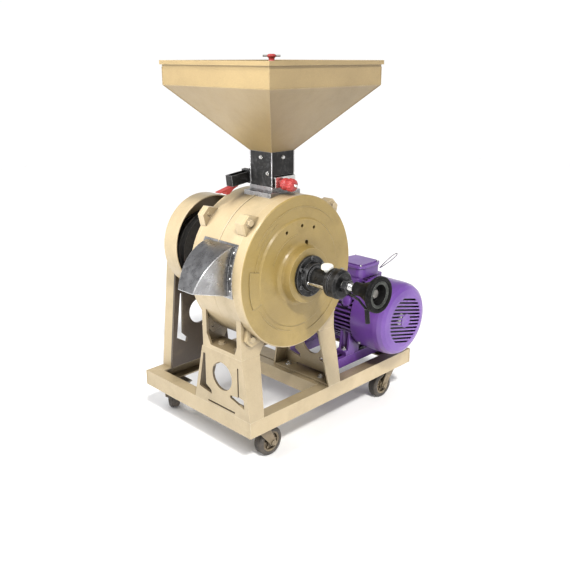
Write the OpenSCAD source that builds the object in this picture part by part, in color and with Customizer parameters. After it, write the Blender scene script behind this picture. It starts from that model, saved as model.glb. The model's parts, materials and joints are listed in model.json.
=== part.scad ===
// Belt-driven stone flour mill on a wheeled steel base, with its hopper and electric motor.
// Lengths are measured from the front left corner of the base, at the underside of its rails:
// x runs along the front rail, y runs to the back and z runs up. place() moves the whole
// machine onto the floor and centres it.

/* [Base] */
// Length of the base along its front
base_l = 762; // [750:1:790]
// Depth of the base from front to back
base_w = 508; // [500:1:530]
// Height of the rails
rail_h = 50; // [44:1:52]
// Width of a rail's flanges
rail_w = 40; // [36:1:42]
// Thickness of the rail steel
rail_t = 5; // [4:0.5:6]

/* [Casters] */
// Height from the floor to the underside of the rails
caster_h = 108; // [104:1:112]
// Outer radius of a tyre
tyre_r = 45; // [40:0.5:46]
// Width of a tyre
tyre_w = 34; // [26:1:36]
// Distance from the swivel axis to the wheel axle
caster_trail = 35; // [30:1:38]

/* [Mill] */
// Height of the mill shaft above the underside of the rails
mill_z = 453; // [450:1:458]
// Distance from the left end of the base to the mill shaft
mill_x = 193; // [190:1:196]
// Outer radius of the casing
casing_r = 219; // [216:1:220]
// Wall thickness of the casing
casing_t = 14; // [10:1:16]
// Radius of the mill stones
stone_r = 178; // [160:1:180]
// Thickness of each stone
stone_t = 40; // [34:1:41]
// Gap between the stones
stone_gap = 1.5; // [0.5:0.1:2]
// Radius of the mill shaft
shaft_r = 20; // [18:0.5:20]

/* [Hopper] */
// Outside width of the square hopper
hopper_w = 415; // [380:1:430]
// Height of the hopper's rim
hopper_z = 1020; // [1000:1:1040]
// Height of the hopper's straight collar
collar_h = 60; // [40:1:70]
// Outside width of the square feed neck
neck_w = 85; // [84:0.5:86]

/* [Drive] */
// Outer radius of the mill pulley
mill_pulley_r = 118; // [110:1:119]
// Outer radius of the motor pulley
motor_pulley_r = 56; // [50:1:60]
// Radius of the round belt guard
guard_r = 150; // [148:1:154]

/* [Motor] */
// Outer radius of the fan cowl
cowl_r = 122; // [121:1:126]
// Outer radius over the cooling fins
fin_r = 118; // [112:1:119]
// Height of the motor shaft above its feet
motor_h = 132; // [130:1:134]
// Number of cooling fins around the motor
fin_count = 48; // [40:4:56]

/* [Hidden] */
$fn = 96;

// Ends of the whole machine, for centring it
chute_hood_r = 210;
chute_hood_x = 36;
chute_hood_z = 351;
chute_lip_angle = 30.4;
wheel_reach = 290;
x_min = chute_hood_x - chute_hood_r * cos(chute_lip_angle);
x_max = base_l;
y_min = -wheel_reach;
rear_trail = 60;
y_max = base_w - 45 + (caster_trail + tyre_r) * sin(rear_trail)
    + (tyre_w / 2 - 6) * cos(rear_trail);

// Layers of the mill from front to back
cover_skirt = 33;
cover_t = 14;
casing_back = 200;
rear_cover_t = 12;
ear_in = 190;
ear_out = 247;
ear_bolt = 231.5;
ear_half = 31;
ear_front = 22;
ear_rear = 56;
inner_r = casing_r - casing_t;
plateau_h = 5;
boss_h = 40;
cap_h = 64;
barrel_end = 125;
collar_end = 165;
stone_front = 100;
runner_front = stone_front + stone_t + stone_gap;
rear_ear_depth = 12;

// Stands
stand_top = 230;
stand_t = 8;
stand_front = 33;
stand_back = 205;
stand_foot_y = 248;
stand_foot_x = 54;
stand_head_x = 70;
flange_t = 6;
rear_stand_y = 460;
right_side = 2 * mill_x;

// Hopper and neck
hopper_y = 106;
neck_top = 786;
neck_bottom = 656;
neck_t = 3;
hopper_t = 2.5;
gate_z = 716;
gate_t = 3;

// Drive
belt_y = 400;
pulley_w = 52;
groove_pitch = 22;
belt_h = 9;
belt_w = 11;
motor_x = 615;
rail_block_h = 33;
motor_z = rail_h + rail_block_h + motor_h;
cowl_front = -76;
cowl_back = 56;
frame_front = 44;
frame_back = 290;
motor_shaft_r = 19;
run_gap = 0.08;
foot_rows = [88, 266];
foot_w = 44;

// Casters, each as x, y and the direction that its wheel trails in
caster_spots = [
    [75, 45, 0], [base_l - 75, 45, 180], [75, base_w - 45, rear_trail], [base_l - 75, base_w - 45, 180]
];
axle_r = 6;

// Puts the machine on the floor, centred on the origin
module place()
    translate([-(x_min + x_max) / 2, -(y_min + y_max) / 2, caster_h]) children();

// A sheet whose outline is drawn in x and z, from y0 to y0 + t
module front_sheet(y0, t)
    translate([0, y0 + t, 0]) rotate([90, 0, 0]) linear_extrude(t) children();

// A sheet whose outline is drawn in y and z, from x0 to x0 + t
module side_sheet(x0, t)
    translate([x0, 0, 0]) rotate([90, 0, 90]) linear_extrude(t) children();

// A round bar along y
module bar_y(x, z, y0, l, r)
    translate([x, y0, z]) rotate([-90, 0, 0]) cylinder(h = l, r = r);

// A round bar along x
module bar_x(y, z, x0, l, r)
    translate([x0, y, z]) rotate([0, 90, 0]) cylinder(h = l, r = r);

// A profile of radius and distance towards the front, turned about the mill shaft
module turned(points)
    translate([mill_x, 0, mill_z]) rotate([90, 0, 0]) rotate_extrude() polygon(points);

// The same about the motor shaft
module motor_turned(points)
    translate([motor_x, 0, motor_z]) rotate([90, 0, 0]) rotate_extrude() polygon(points);

// A mill layer whose outline is drawn about the shaft as seen from the front
module mill_layer(y0, t)
    front_sheet(y0, t) translate([mill_x, mill_z]) children();

// The other side of the mill's middle plane
module mirrored()
    translate([mill_x, 0, 0]) mirror([1, 0, 0]) translate([-mill_x, 0, 0]) children();

// The same shape or its mirror image about x = 0
module flipped(side)
    mirror([side < 0 ? 1 : 0, 0, 0]) children();

// A hexagon bolt standing on z = 0 with its shank below
module bolt(head_r, shank_r, shank_l) {
    cylinder(h = 0.6 * head_r, r = head_r, $fn = 6);
    cylinder(h = 1.5, r = 1.25 * head_r);
    translate([0, 0, -shank_l]) cylinder(h = shank_l, r = shank_r);
}

// ---------- base ----------

hole_r = 6.5;
stand_bolt_x = 27;
stand_bolt_y = [60, 205];
rear_bolt_x = [mill_x - 98, mill_x + 98];
rear_bolt_in = 20;
cross_x = right_side - 72;
cross_w = 100;
slide_left = cross_x + 76;
slide_bolt_left = slide_left + 14;
slide_bolt_right = base_l - 12;
foot_bolt_dx = 108;
foot_t = 14;

// A bolt hole through the top of a rail
module base_hole(x, y)
    translate([x, y, rail_h / 2]) cylinder(h = rail_h, r = hole_r);

// A rail along x with its web on y = 0, mitred at both ends
module channel_rail(l) {
    difference() {
        cube([l, rail_w, rail_h]);
        translate([-1, rail_t, rail_t]) cube([l + 2, rail_w, rail_h - 2 * rail_t]);
        translate([0, 0, -1]) linear_extrude(rail_h + 2)
            polygon([[-1, -1], [rail_w + 1, rail_w + 1], [-1, rail_w + 1]]);
        translate([l, 0, -1]) linear_extrude(rail_h + 2)
            polygon([[1, -1], [-rail_w - 1, rail_w + 1], [1, rail_w + 1]]);
    }
}

module front_rail() color("tan") place() channel_rail(base_l);

module rear_rail() color("tan") place() difference() {
    translate([0, base_w, 0]) mirror([0, 1, 0]) channel_rail(base_l);
    for (x = rear_bolt_x) base_hole(x, base_w - rear_bolt_in);
}

module left_rail() color("tan") place() difference() {
    mirror([1, 0, 0]) rotate([0, 0, 90]) channel_rail(base_w);
    for (y = stand_bolt_y) base_hole(stand_bolt_x, y);
}

module right_rail() color("tan") place() difference() {
    translate([base_l, 0, 0]) rotate([0, 0, 90]) channel_rail(base_w);
    for (y = foot_rows) base_hole(slide_bolt_right, y);
}

// Inverted channel under the right stand, with a slot for setting the stand
module cross_rail() color("tan") place() difference() {
    translate([cross_x, rail_w, rail_t]) cube([cross_w, base_w - 2 * rail_w, rail_h - rail_t]);
    translate([cross_x + rail_t, rail_w - 1, 0])
        cube([cross_w - 2 * rail_t, base_w, rail_h - rail_t]);
    translate([cross_x + 32, 262, rail_h - 2 * rail_t]) cube([10, 160, 3 * rail_t]);
    for (y = stand_bolt_y) base_hole(right_side - stand_bolt_x, y);
    for (y = foot_rows) base_hole(slide_bolt_left, y);
}

// Two bars that the motor slides along to tighten the belts
module slide_rails() color("rebeccapurple") place() for (y = foot_rows) difference() {
    translate([slide_left, y - foot_w / 2, rail_h])
        cube([base_l - slide_left, foot_w, rail_block_h]);
    translate([slide_left + 30, y - 7, rail_h + 10]) cube([base_l - slide_left - 60, 14, 40]);
    translate([slide_left + 30, y - 13, rail_h + 8]) cube([base_l - slide_left - 60, 26, 12]);
    for (x = [slide_bolt_left, slide_bolt_right])
        translate([x, y, rail_h - 1]) cylinder(h = rail_block_h + 2, r = hole_r);
}

// Every bolt that holds the stands, casters and motor to the base
module frame_bolts() color("silver") place() {
    for (y = stand_bolt_y) {
        translate([stand_bolt_x, y, rail_h + flange_t]) bolt(9, 6, 14);
        translate([right_side - stand_bolt_x, y, rail_h + flange_t]) bolt(9, 6, 14);
    }
    for (x = rear_bolt_x)
        translate([x, base_w - rear_bolt_in, rail_h + flange_t]) bolt(9, 6, 14);
    for (y = foot_rows, x = [slide_bolt_left, slide_bolt_right])
        translate([x, y, rail_h + rail_block_h]) bolt(8, 6, 40);
    for (y = foot_rows, side = [-1, 1])
        translate([motor_x + side * foot_bolt_dx, y, rail_h + rail_block_h + foot_t])
            bolt(9, 6, 34);
}

// ---------- stands ----------

// Side of a stand, as y and z
module stand_outline() difference() {
    polygon([
        [0, rail_h], [stand_foot_y, rail_h], [stand_back, stand_top], [stand_front, stand_top]
    ]);
    translate([119, 157]) circle(r = 43);
    polygon([[201, 208], [225, 93], [167, 84], [170, 97], [193, 110], [192, 208]]);
    polygon([[52, 204], [47, 204], [46, 116], [27, 113], [24, 84], [85, 101], [84, 110], [52, 113]]);
    translate([65, rail_h + flange_t]) square([121, 6]);
}

// Front and back flanges of a stand, leaning with its edges
module stand_flange_outline() {
    polygon([
        [0, rail_h], [flange_t, rail_h], [stand_front + flange_t, stand_top],
        [stand_front, stand_top]
    ]);
    polygon([
        [stand_foot_y, rail_h], [stand_foot_y - flange_t, rail_h],
        [stand_back - flange_t, stand_top], [stand_back, stand_top]
    ]);
}

// A cast stand with its web on the outside
module side_stand() difference() {
    union() {
        side_sheet(0, stand_t) stand_outline();
        intersection() {
            side_sheet(0, stand_head_x) stand_flange_outline();
            front_sheet(-1, stand_foot_y + 2) polygon([
                [0, rail_h], [stand_foot_x, rail_h], [stand_head_x, stand_top], [0, stand_top]
            ]);
        }
        intersection() {
            translate([0, 0, rail_h]) cube([stand_foot_x, stand_foot_y, flange_t]);
            side_sheet(0, stand_head_x) polygon([
                [0, rail_h], [stand_foot_y, rail_h], [stand_back, stand_top],
                [stand_front, stand_top]
            ]);
        }
        translate([0, stand_front, stand_top - flange_t])
            cube([stand_head_x - 2, stand_back - stand_front, flange_t]);
    }
    for (y = stand_bolt_y)
        translate([stand_bolt_x, y, rail_h - 1]) cylinder(h = flange_t + 2, r = hole_r);
    for (y = casing_bolt_y)
        translate([casing_bolt_x, y, stand_top - 10]) cylinder(h = 20, r = hole_r);
}

module left_stand() color("tan") place() side_stand();

module right_stand() color("tan") place() mirrored() side_stand();

rear_foot = 125;
rear_head = 83;

// Face of the rear stand, as x and z
module rear_stand_outline() difference() {
    union() {
        polygon([
            [mill_x - rear_foot, rail_h], [mill_x + rear_foot, rail_h],
            [mill_x + rear_head, mill_z], [mill_x - rear_head, mill_z]
        ]);
        translate([mill_x, mill_z]) circle(r = rear_head);
    }
    translate([mill_x, mill_z]) circle(r = shaft_r + 6);
    translate([mill_x, 222]) circle(r = 43);
    for (side = [-1, 1]) translate([mill_x, 0]) flipped(side)
        polygon([[68, 300], [77, 300], [98, 150], [60, 126], [56, 140], [74, 160]]);
}

// A slanted side flange of the rear stand
module rear_stand_flange() front_sheet(rear_stand_y, base_w - rear_stand_y) polygon([
    [mill_x - rear_foot, rail_h], [mill_x - rear_foot + flange_t, rail_h],
    [mill_x - rear_head + flange_t, mill_z], [mill_x - rear_head, mill_z]
]);

module rear_stand() color("tan") place() difference() {
    union() {
        front_sheet(rear_stand_y, stand_t) rear_stand_outline();
        rear_stand_flange();
        mirrored() rear_stand_flange();
        translate([mill_x - rear_foot + 2, rear_stand_y, rail_h])
            cube([2 * rear_foot - 4, base_w - rear_stand_y, flange_t]);
    }
    for (x = rear_bolt_x) translate([x, base_w - rear_bolt_in, rail_h - 1])
        cylinder(h = flange_t + 2, r = hole_r);
}

// ---------- casters ----------

race_h = 10;
pin_h = 5;
crown_t = 4;

// Top plates with their swivel races and king pins
module caster_plates() color("gray") place() for (spot = caster_spots)
    translate([spot[0], spot[1], 0]) {
        translate([-48, -38, -4]) cube([96, 76, 4]);
        translate([0, 0, -4 - race_h]) cylinder(h = race_h, r = 26);
        translate([0, 0, -4 - race_h - pin_h]) cylinder(h = pin_h, r = axle_r);
        translate([0, 0, -7 - race_h - pin_h]) cylinder(h = 3, r = axle_r + 3);
    }

fork_top = -4.4 - race_h;
axle_z = tyre_r - caster_h;
leg_in = tyre_w / 2 + 2;
leg_t = 4;

// A swivelling fork and the axle bolt through it
module caster_fork(spot) color("tan") place() translate([spot[0], spot[1], 0])
    rotate(spot[2]) {
        translate([0, 0, fork_top - crown_t]) difference() {
            union() {
                cylinder(h = crown_t, r = 24);
                translate([-18, -leg_in - leg_t, 0]) cube([36, 2 * (leg_in + leg_t), crown_t]);
            }
            translate([0, 0, -1]) cylinder(h = crown_t + 2, r = axle_r + run_gap);
        }
        for (side = [-1, 1]) translate([0, side * (leg_in + leg_t / 2) - leg_t / 2, 0])
            front_sheet(0, leg_t) polygon([
                [-18, fork_top], [24, fork_top], [caster_trail + 12, axle_z + 2],
                [caster_trail + 8, axle_z - 9], [caster_trail - 8, axle_z - 9],
                [caster_trail - 14, axle_z + 2]
            ]);
        bar_y(caster_trail, axle_z, -leg_in, 2 * leg_in, axle_r - 0.5);
        for (side = [-1, 1])
            translate([caster_trail, side * (leg_in + leg_t), axle_z]) rotate([-90 * side, 0, 0])
                cylinder(h = 5, r = 9, $fn = 6);
    }

module caster_fork_1() caster_fork(caster_spots[0]);
module caster_fork_2() caster_fork(caster_spots[1]);
module caster_fork_3() caster_fork(caster_spots[2]);
module caster_fork_4() caster_fork(caster_spots[3]);

rim_r = tyre_r - 13;

// A wheel: a turned hub with a web, and its rubber tyre
module caster_wheel(spot) place()
    translate([spot[0], spot[1], axle_z]) rotate(spot[2])
    translate([caster_trail, 0, 0]) rotate([90, 0, 0]) {
        color("darkkhaki") rotate_extrude() polygon([
            [axle_r - 0.42, -tyre_w / 2], [14, -tyre_w / 2], [14, -6], [rim_r - 5, -6],
            [rim_r - 5, -tyre_w / 2 + 3], [rim_r, -tyre_w / 2 + 3], [rim_r, tyre_w / 2 - 3],
            [rim_r - 5, tyre_w / 2 - 3], [rim_r - 5, 6], [14, 6], [14, tyre_w / 2],
            [axle_r - 0.42, tyre_w / 2]
        ]);
        color("dimgray") rotate_extrude() polygon([
            [rim_r, -tyre_w / 2 + 1], [tyre_r - 4, -tyre_w / 2], [tyre_r, -tyre_w / 2 + 6],
            [tyre_r, tyre_w / 2 - 6], [tyre_r - 4, tyre_w / 2], [rim_r, tyre_w / 2 - 1]
        ]);
    }

module caster_wheel_1() caster_wheel(caster_spots[0]);
module caster_wheel_2() caster_wheel(caster_spots[1]);
module caster_wheel_3() caster_wheel(caster_spots[2]);
module caster_wheel_4() caster_wheel(caster_spots[3]);

// ---------- mill ----------

// Four clamping ears about the shaft
module ears() for (a = [45:90:315]) rotate(a) polygon([
    [ear_in, -ear_half - 6], [ear_out - 26, -ear_half], [ear_out, -ear_half + 16],
    [ear_out, ear_half - 16], [ear_out - 26, ear_half], [ear_in, ear_half + 6]
]);

// Bolt holes through the ears
module ear_holes() for (a = [45:90:315]) rotate(a) translate([ear_bolt, 0])
    circle(r = hole_r);

casing_bolt_x = 30;
casing_bolt_y = [80, 150];
casing_foot_t = 12;
casing_arm = 18;

// One cast foot of the casing, reaching up to meet the drum
module casing_foot() {
    translate([0, stand_front, stand_top])
        cube([stand_head_x - 2, casing_back - stand_front, casing_foot_t]);
    side_sheet(0, stand_t) difference() {
        polygon([
            [stand_front, stand_top], [casing_back, stand_top], [casing_back, 372],
            [stand_front, 372]
        ]);
        polygon([
            [stand_front + casing_arm, 400], [stand_front + casing_arm, 266],
            [stand_front + casing_arm + 10, stand_top + casing_foot_t],
            [casing_back - casing_arm - 16, stand_top + casing_foot_t],
            [casing_back - casing_arm, 274], [casing_back - casing_arm, 400]
        ]);
    }
    for (y = [stand_front, casing_back - stand_t]) front_sheet(y, stand_t) polygon([
        [0, stand_top], [stand_head_x - 2, stand_top], [105, 290], [0, 372]
    ]);
}

// Window through the drum's wall into the chute, as y and z
module chute_window() polygon([[56, 432], [90, 432], [142, 530], [56, 530]]);

// Drum of the mill with its ears and feet, open at the front and back
module mill_casing() color("tan") place() difference() {
    union() {
        mill_layer(cover_skirt, casing_back - cover_skirt) circle(r = casing_r);
        mill_layer(cover_skirt, ear_rear - cover_skirt) ears();
        mill_layer(casing_back - rear_ear_depth, rear_ear_depth) ears();
        casing_foot();
        mirrored() casing_foot();
    }
    mill_layer(cover_skirt - 1, casing_back - cover_skirt + 2) circle(r = inner_r);
    mill_layer(cover_skirt - 1, casing_back + 2) ear_holes();
    for (x = [casing_bolt_x, right_side - casing_bolt_x], y = casing_bolt_y)
        translate([x, y, stand_top - 1]) cylinder(h = casing_foot_t + 2, r = hole_r);
    translate([mill_x - neck_w / 2 - 0.5, hopper_y - neck_w / 2 - 0.5, mill_z + 150])
        cube([neck_w + 1, neck_w + 1, 100]);
    side_sheet(mill_x - casing_r - 10, 60) chute_window();
}

// Dished front cover with its bearing boss and clamping ears
module front_cover() color("darkkhaki") place() difference() {
    union() {
        turned([
            [36, -cover_t], [inner_r, -cover_t], [inner_r, -cover_skirt], [casing_r, -cover_skirt],
            [casing_r, -3], [casing_r - 3, 0], [158, 0], [153, plateau_h], [92, plateau_h],
            [86, 7], [82, 12], [80, 20], [78, boss_h], [36, boss_h]
        ]);
        mill_layer(ear_front, cover_skirt - ear_front) difference() {
            ears();
            circle(r = casing_r - 2);
        }
        mill_layer(-3, 4) intersection() {
            circle(r = 190);
            polygon([[-120, 24], [-215, 46], [-215, -80], [-120, -48]]);
        }
    }
    mill_layer(-50, 100) ear_holes();
    for (a = [66, 87, 113])
        mill_layer(-20, 26) rotate(a) translate([135, 0]) circle(r = 5);
    mill_layer(-20, 26) rotate(74) translate([88.5, 0]) circle(r = 7);
}

// Back wall with the rear clamping ears
module rear_cover() color("tan") place() mill_layer(casing_back, rear_cover_t) difference() {
    union() {
        circle(r = casing_r);
        ears();
    }
    circle(r = shaft_r + 2);
    ear_holes();
}

cap_bolt_r = 50;
barrel_r = 27;
tie_bar_r = 32.5;

// Bright bolts on the mill, the neck and the adjuster
module mill_bolts() color("silver") place() {
    translate([mill_x, 0, mill_z]) rotate([90, 0, 0]) {
        for (a = [45:90:315]) rotate(a) {
            translate([ear_bolt, 0, -ear_front]) bolt(9.5, 6, ear_rear - ear_front);
            translate([ear_bolt, 0, -ear_rear]) rotate([180, 0, 0]) bolt(9.5, 5.9, 0.1);
            translate([ear_bolt, 0, -casing_back - rear_cover_t]) rotate([180, 0, 0])
                bolt(9.5, 6, rear_cover_t + rear_ear_depth);
        }
        for (a = [30:60:330]) rotate(a) translate([cap_bolt_r, 0, boss_h + 10]) bolt(5, 3, 8);
        for (a = [20, 200]) rotate(a) translate([tie_bar_r, 0, cap_h])
            cylinder(h = barrel_end - cap_h, r = 4.5);
    }
    for (x = [casing_bolt_x, right_side - casing_bolt_x], y = casing_bolt_y)
        translate([x, y, stand_top + casing_foot_t]) bolt(10, 6, casing_foot_t + flange_t);
    for (side = [-1, 1]) {
        translate([mill_x + side * neck_w / 2, hopper_y, neck_top - 16])
            rotate([0, 90 * side, 0]) bolt(4.5, 2.5, 6);
        translate([mill_x + side * neck_w / 2, hopper_y - 26, neck_top - 58])
            rotate([0, 90 * side, 0]) bolt(4.5, 2.5, 2.5);
        translate([mill_x, hopper_y + side * neck_w / 2, neck_top - 16])
            rotate([-90 * side, 0, 0]) bolt(4.5, 2.5, 6);
    }
}

// Still stone with the plate and lugs that hold it in the drum
module fixed_stone() color("lightgray") place() {
    mill_layer(stone_front, stone_t) difference() {
        circle(r = stone_r);
        circle(r = 62);
    }
    mill_layer(stone_front - 8, 8) difference() {
        union() {
            circle(r = stone_r);
            for (a = [30, 150, 270]) rotate(a) translate([0, -25]) square([inner_r - 2, 50]);
        }
        circle(r = 62);
    }
}

// Turning stone
module runner_stone() color("lightgray") place()
    mill_layer(runner_front, stone_t) difference() {
        circle(r = stone_r);
        circle(r = shaft_r + 12);
    }

plate_back = runner_front + stone_t;

// Steel plate and hub that carry the turning stone
module stone_plate() color("slategray") place() difference() {
    union() {
        mill_layer(plate_back, 8) circle(r = stone_r - 14);
        mill_layer(runner_front + 4, stone_t - 4) circle(r = shaft_r + 12);
    }
    mill_layer(runner_front, stone_t + 20) circle(r = shaft_r);
}

shaft_front = -48;
shaft_back = 500;

module main_shaft() color("silver") place() {
    bar_y(mill_x, mill_z, -34, shaft_back + 34, shaft_r);
    bar_y(mill_x, mill_z, shaft_front, 20, 12);
    translate([mill_x - 5, belt_y - 24, mill_z + shaft_r - 2]) cube([10, 48, 6]);
}

// A ball bearing as a ring grooved on both faces
module ball_bearing(y0, w, bore, outer)
    translate([mill_x, y0 + w, mill_z]) rotate([90, 0, 0]) rotate_extrude() polygon([
        [bore, 0], [bore + 5, 0], [bore + 6, 2], [outer - 6, 2], [outer - 5, 0], [outer, 0],
        [outer, w], [outer - 5, w], [outer - 6, w - 2], [bore + 6, w - 2], [bore + 5, w], [bore, w]
    ]);

module front_bearing() color("silver") place()
    ball_bearing(-30, 22, shaft_r + run_gap, 36);

// Flanged bearing on the back of the rear stand
module rear_bearing() color("dimgray") place() {
    translate([mill_x, rear_stand_y + stand_t, mill_z]) rotate([-90, 0, 0])
        rotate_extrude() polygon([
            [shaft_r + run_gap, 0], [60, 0], [60, 10], [46, 12], [46, 28], [42, 32],
            [shaft_r + run_gap, 32]
        ]);
    for (a = [45:90:315]) translate([mill_x, rear_stand_y + stand_t + 10, mill_z])
        rotate([-90, 0, 0]) rotate(a) translate([53, 0, 0]) cylinder(h = 5, r = 6, $fn = 6);
}

// ---------- gap adjuster ----------

cup_r = 16.1;
cup_bore = cup_r + run_gap;

module bearing_cap() color("black") place() difference() {
    turned([
        [cup_bore, boss_h], [58, boss_h], [58, boss_h + 9], [56, boss_h + 10],
        [43, boss_h + 10], [41, boss_h + 16], [39, cap_h], [cup_bore, cap_h]
    ]);
    for (a = [30:60:330]) mill_layer(-boss_h - 20, 30) rotate(a)
        translate([cap_bolt_r, 0]) circle(r = 3.2);
}

module adjuster_barrel() color("black") place() turned([
    [cup_bore, cap_h], [barrel_r, cap_h], [barrel_r, barrel_end], [cup_bore, barrel_end]
]);

screw_r = 11;

// Split collar that carries the nut thread
module adjuster_collar() color("black") place() turned([
    [screw_r + 0.3, barrel_end], [38, barrel_end], [40, barrel_end + 2], [40, barrel_end + 12],
    [36, barrel_end + 13], [36, barrel_end + 16], [40, barrel_end + 17], [40, collar_end - 6],
    [34, collar_end], [screw_r + 0.3, collar_end]
]);

// Oil cup on top of the barrel
module oil_cup() color("white") place() difference() {
    translate([mill_x, -barrel_end + 19, mill_z + 20]) rotate_extrude() polygon([
        [0, 0], [8, 0], [8, 11], [15, 12], [17, 14], [17, 22], [14, 26], [8, 28], [0, 28]
    ]);
    bar_y(mill_x, mill_z, -barrel_end, barrel_end - cap_h, barrel_r);
}

thread_pitch = 3;
screw_shoulder = 60.4;
hub_front = 206;

// Points of a ridged thread from h0 to h1, as radius and distance
function thread(h0, h1) = [
    for (i = [0:1:floor((h1 - h0) / thread_pitch) - 1])
        for (p = [[screw_r - 1.5, 0], [screw_r, thread_pitch / 2]])
            [p[0], h0 + i * thread_pitch + p[1]]
];

// Adjusting screw, threaded from inside the barrel to the hand wheel
module adjusting_screw() color("silver") place() turned(concat(
    [[0, 54], [6, 54], [6, screw_shoulder], [screw_r - 1.5, screw_shoulder]],
    thread(screw_shoulder + 0.6, hub_front - 2),
    [[screw_r - 1.5, hub_front], [8, hub_front], [8, 264], [0, 264]]
));

// Pressure cup that the screw pushes without turning
module thrust_cup() color("silver") place() turned([
    [0, 50], [cup_r, 50], [cup_r, 60], [6 + run_gap, 60], [6 + run_gap, 53.6], [0, 53.6]
]);

lever_front = 170;

// A round rod from one point to another
module rod(from, to, r) {
    d = to - from;
    translate(from) rotate([0, acos(d[2] / norm(d)), atan2(d[1], d[0])])
        cylinder(h = norm(d), r = r);
}

// Lock nut with its bent lever, which reaches forward and hangs under the hub
module lock_lever() color("dimgray") place() translate([mill_x, 0, mill_z]) {
    rotate([90, 0, 0]) difference() {
        translate([0, 0, lever_front]) cylinder(h = 16, r = 19, $fn = 6);
        translate([0, 0, lever_front - 1]) cylinder(h = 18, r = screw_r + 0.3);
    }
    rod([2, -lever_front - 8, -15], [3, -lever_front - 45, -29], 3.5);
    rod([3, -lever_front - 43, -26.5], [6, -lever_front - 73, -53], 3.4);
    rod([6, -lever_front - 71, -49], [7, -lever_front - 75, -88], 6.5);
}

// Dished hand wheel on a flared hub
module hand_wheel() color("black") place() turned([
    [8, hub_front], [18, hub_front], [18, 228], [22, 238], [31, 256], [40, 268], [48, 276],
    [48, wheel_reach - 3], [45, wheel_reach], [40, wheel_reach], [37, wheel_reach - 4],
    [27, wheel_reach - 6], [23, 266], [8, 262]
]);

// ---------- outlet ----------

chute_front = 50;
chute_back_low = 110;
chute_back_high = 165;
chute_t = 2;
chute_lip = [
    chute_hood_x - chute_hood_r * cos(chute_lip_angle),
    chute_hood_z + chute_hood_r * sin(chute_lip_angle)
];
chute_heel = [-27, 424];
chute_top = 560;

// Side of the chute between the hood, the lip line and the drum, as x and z
module chute_outline(hood_r) difference() {
    intersection() {
        translate([chute_hood_x, chute_hood_z]) circle(r = hood_r, $fn = 192);
        polygon([
            chute_lip + [-20, 5.6], chute_heel + [20, -5.6], [10, chute_top],
            [-160, chute_top + 60]
        ]);
    }
    translate([mill_x, mill_z]) circle(r = casing_r);
}

// Room between the front and back sides of the chute, which close in towards the lip
module chute_wedge(inset) {
    lean = (chute_back_high - chute_back_low) / (chute_top - chute_lip[1]);
    rise = 60;
    side_sheet(-400, 600) polygon([
        [chute_front + inset, chute_lip[1] - rise],
        [chute_back_low - inset - rise * lean, chute_lip[1] - rise],
        [chute_back_high - inset + rise * lean, chute_top + rise],
        [chute_front + inset, chute_top + rise]
    ]);
}

// Galvanized outlet chute, open underneath, with the saddle that holds it on the drum
module discharge_chute() color("lightgray") place() {
    difference() {
        intersection() {
            front_sheet(chute_front - 1, 200) chute_outline(chute_hood_r);
            chute_wedge(0);
        }
        intersection() {
            bar_y(
                chute_hood_x, chute_hood_z, chute_front - 2, 210, chute_hood_r - chute_t,
                $fn = 192
            );
            chute_wedge(chute_t);
        }
    }
    difference() {
        mill_layer(chute_front - 15, chute_back_high + 25 - chute_front) difference() {
            circle(r = casing_r + chute_t);
            circle(r = casing_r);
            translate([-casing_r - 10, chute_top + 2 - mill_z]) square([3 * casing_r, 200]);
            translate([-150, -casing_r - 10]) square([3 * casing_r, 3 * casing_r]);
            translate([-casing_r - 10, -casing_r - 30]) square([3 * casing_r, casing_r - 6]);
        }
        side_sheet(mill_x - casing_r - 10, 60) chute_window();
    }
}

// ---------- feed ----------

boot_top = 692;

// Square tube with a wall of t
module square_tube(w, t, z0, z1) difference() {
    translate([mill_x - w / 2, hopper_y - w / 2, z0]) cube([w, w, z1 - z0]);
    translate([mill_x - w / 2 + t, hopper_y - w / 2 + t, z0 - 1])
        cube([w - 2 * t, w - 2 * t, z1 - z0 + 2]);
}

// Galvanized boot round the foot of the neck, and the spout that it feeds inside the drum
module inlet_boot() color("gainsboro") place() {
    difference() {
        union() {
            translate([mill_x - neck_w / 2 - 2, hopper_y - neck_w / 2 - 2, 600])
                cube([neck_w + 4, neck_w + 4, boot_top - 600]);
            translate([mill_x - neck_w / 2 - 16, hopper_y - neck_w / 2 - 10, 600])
                cube([neck_w + 32, neck_w + 20, mill_z + casing_r + 5 - 600]);
        }
        translate([mill_x - neck_w / 2, hopper_y - neck_w / 2, 599])
            cube([neck_w, neck_w, 200]);
        bar_y(mill_x, mill_z, 0, 260, casing_r);
    }
    difference() {
        side_sheet(mill_x - neck_w / 2, neck_w) polygon([
            [64, neck_bottom], [148, neck_bottom], [90, 633], [90, 520], [34, 520], [30, 612]
        ]);
        side_sheet(mill_x - neck_w / 2 + 2, neck_w - 4) polygon([
            [67, neck_bottom + 1], [144, neck_bottom + 1], [88, 634], [88, 519], [36, 519],
            [32, 612]
        ]);
    }
}

strap_w = 12;
tray_w = 26;
tray_h = 30;
tray_slope = 6;
neck_left = mill_x - neck_w / 2;

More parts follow.
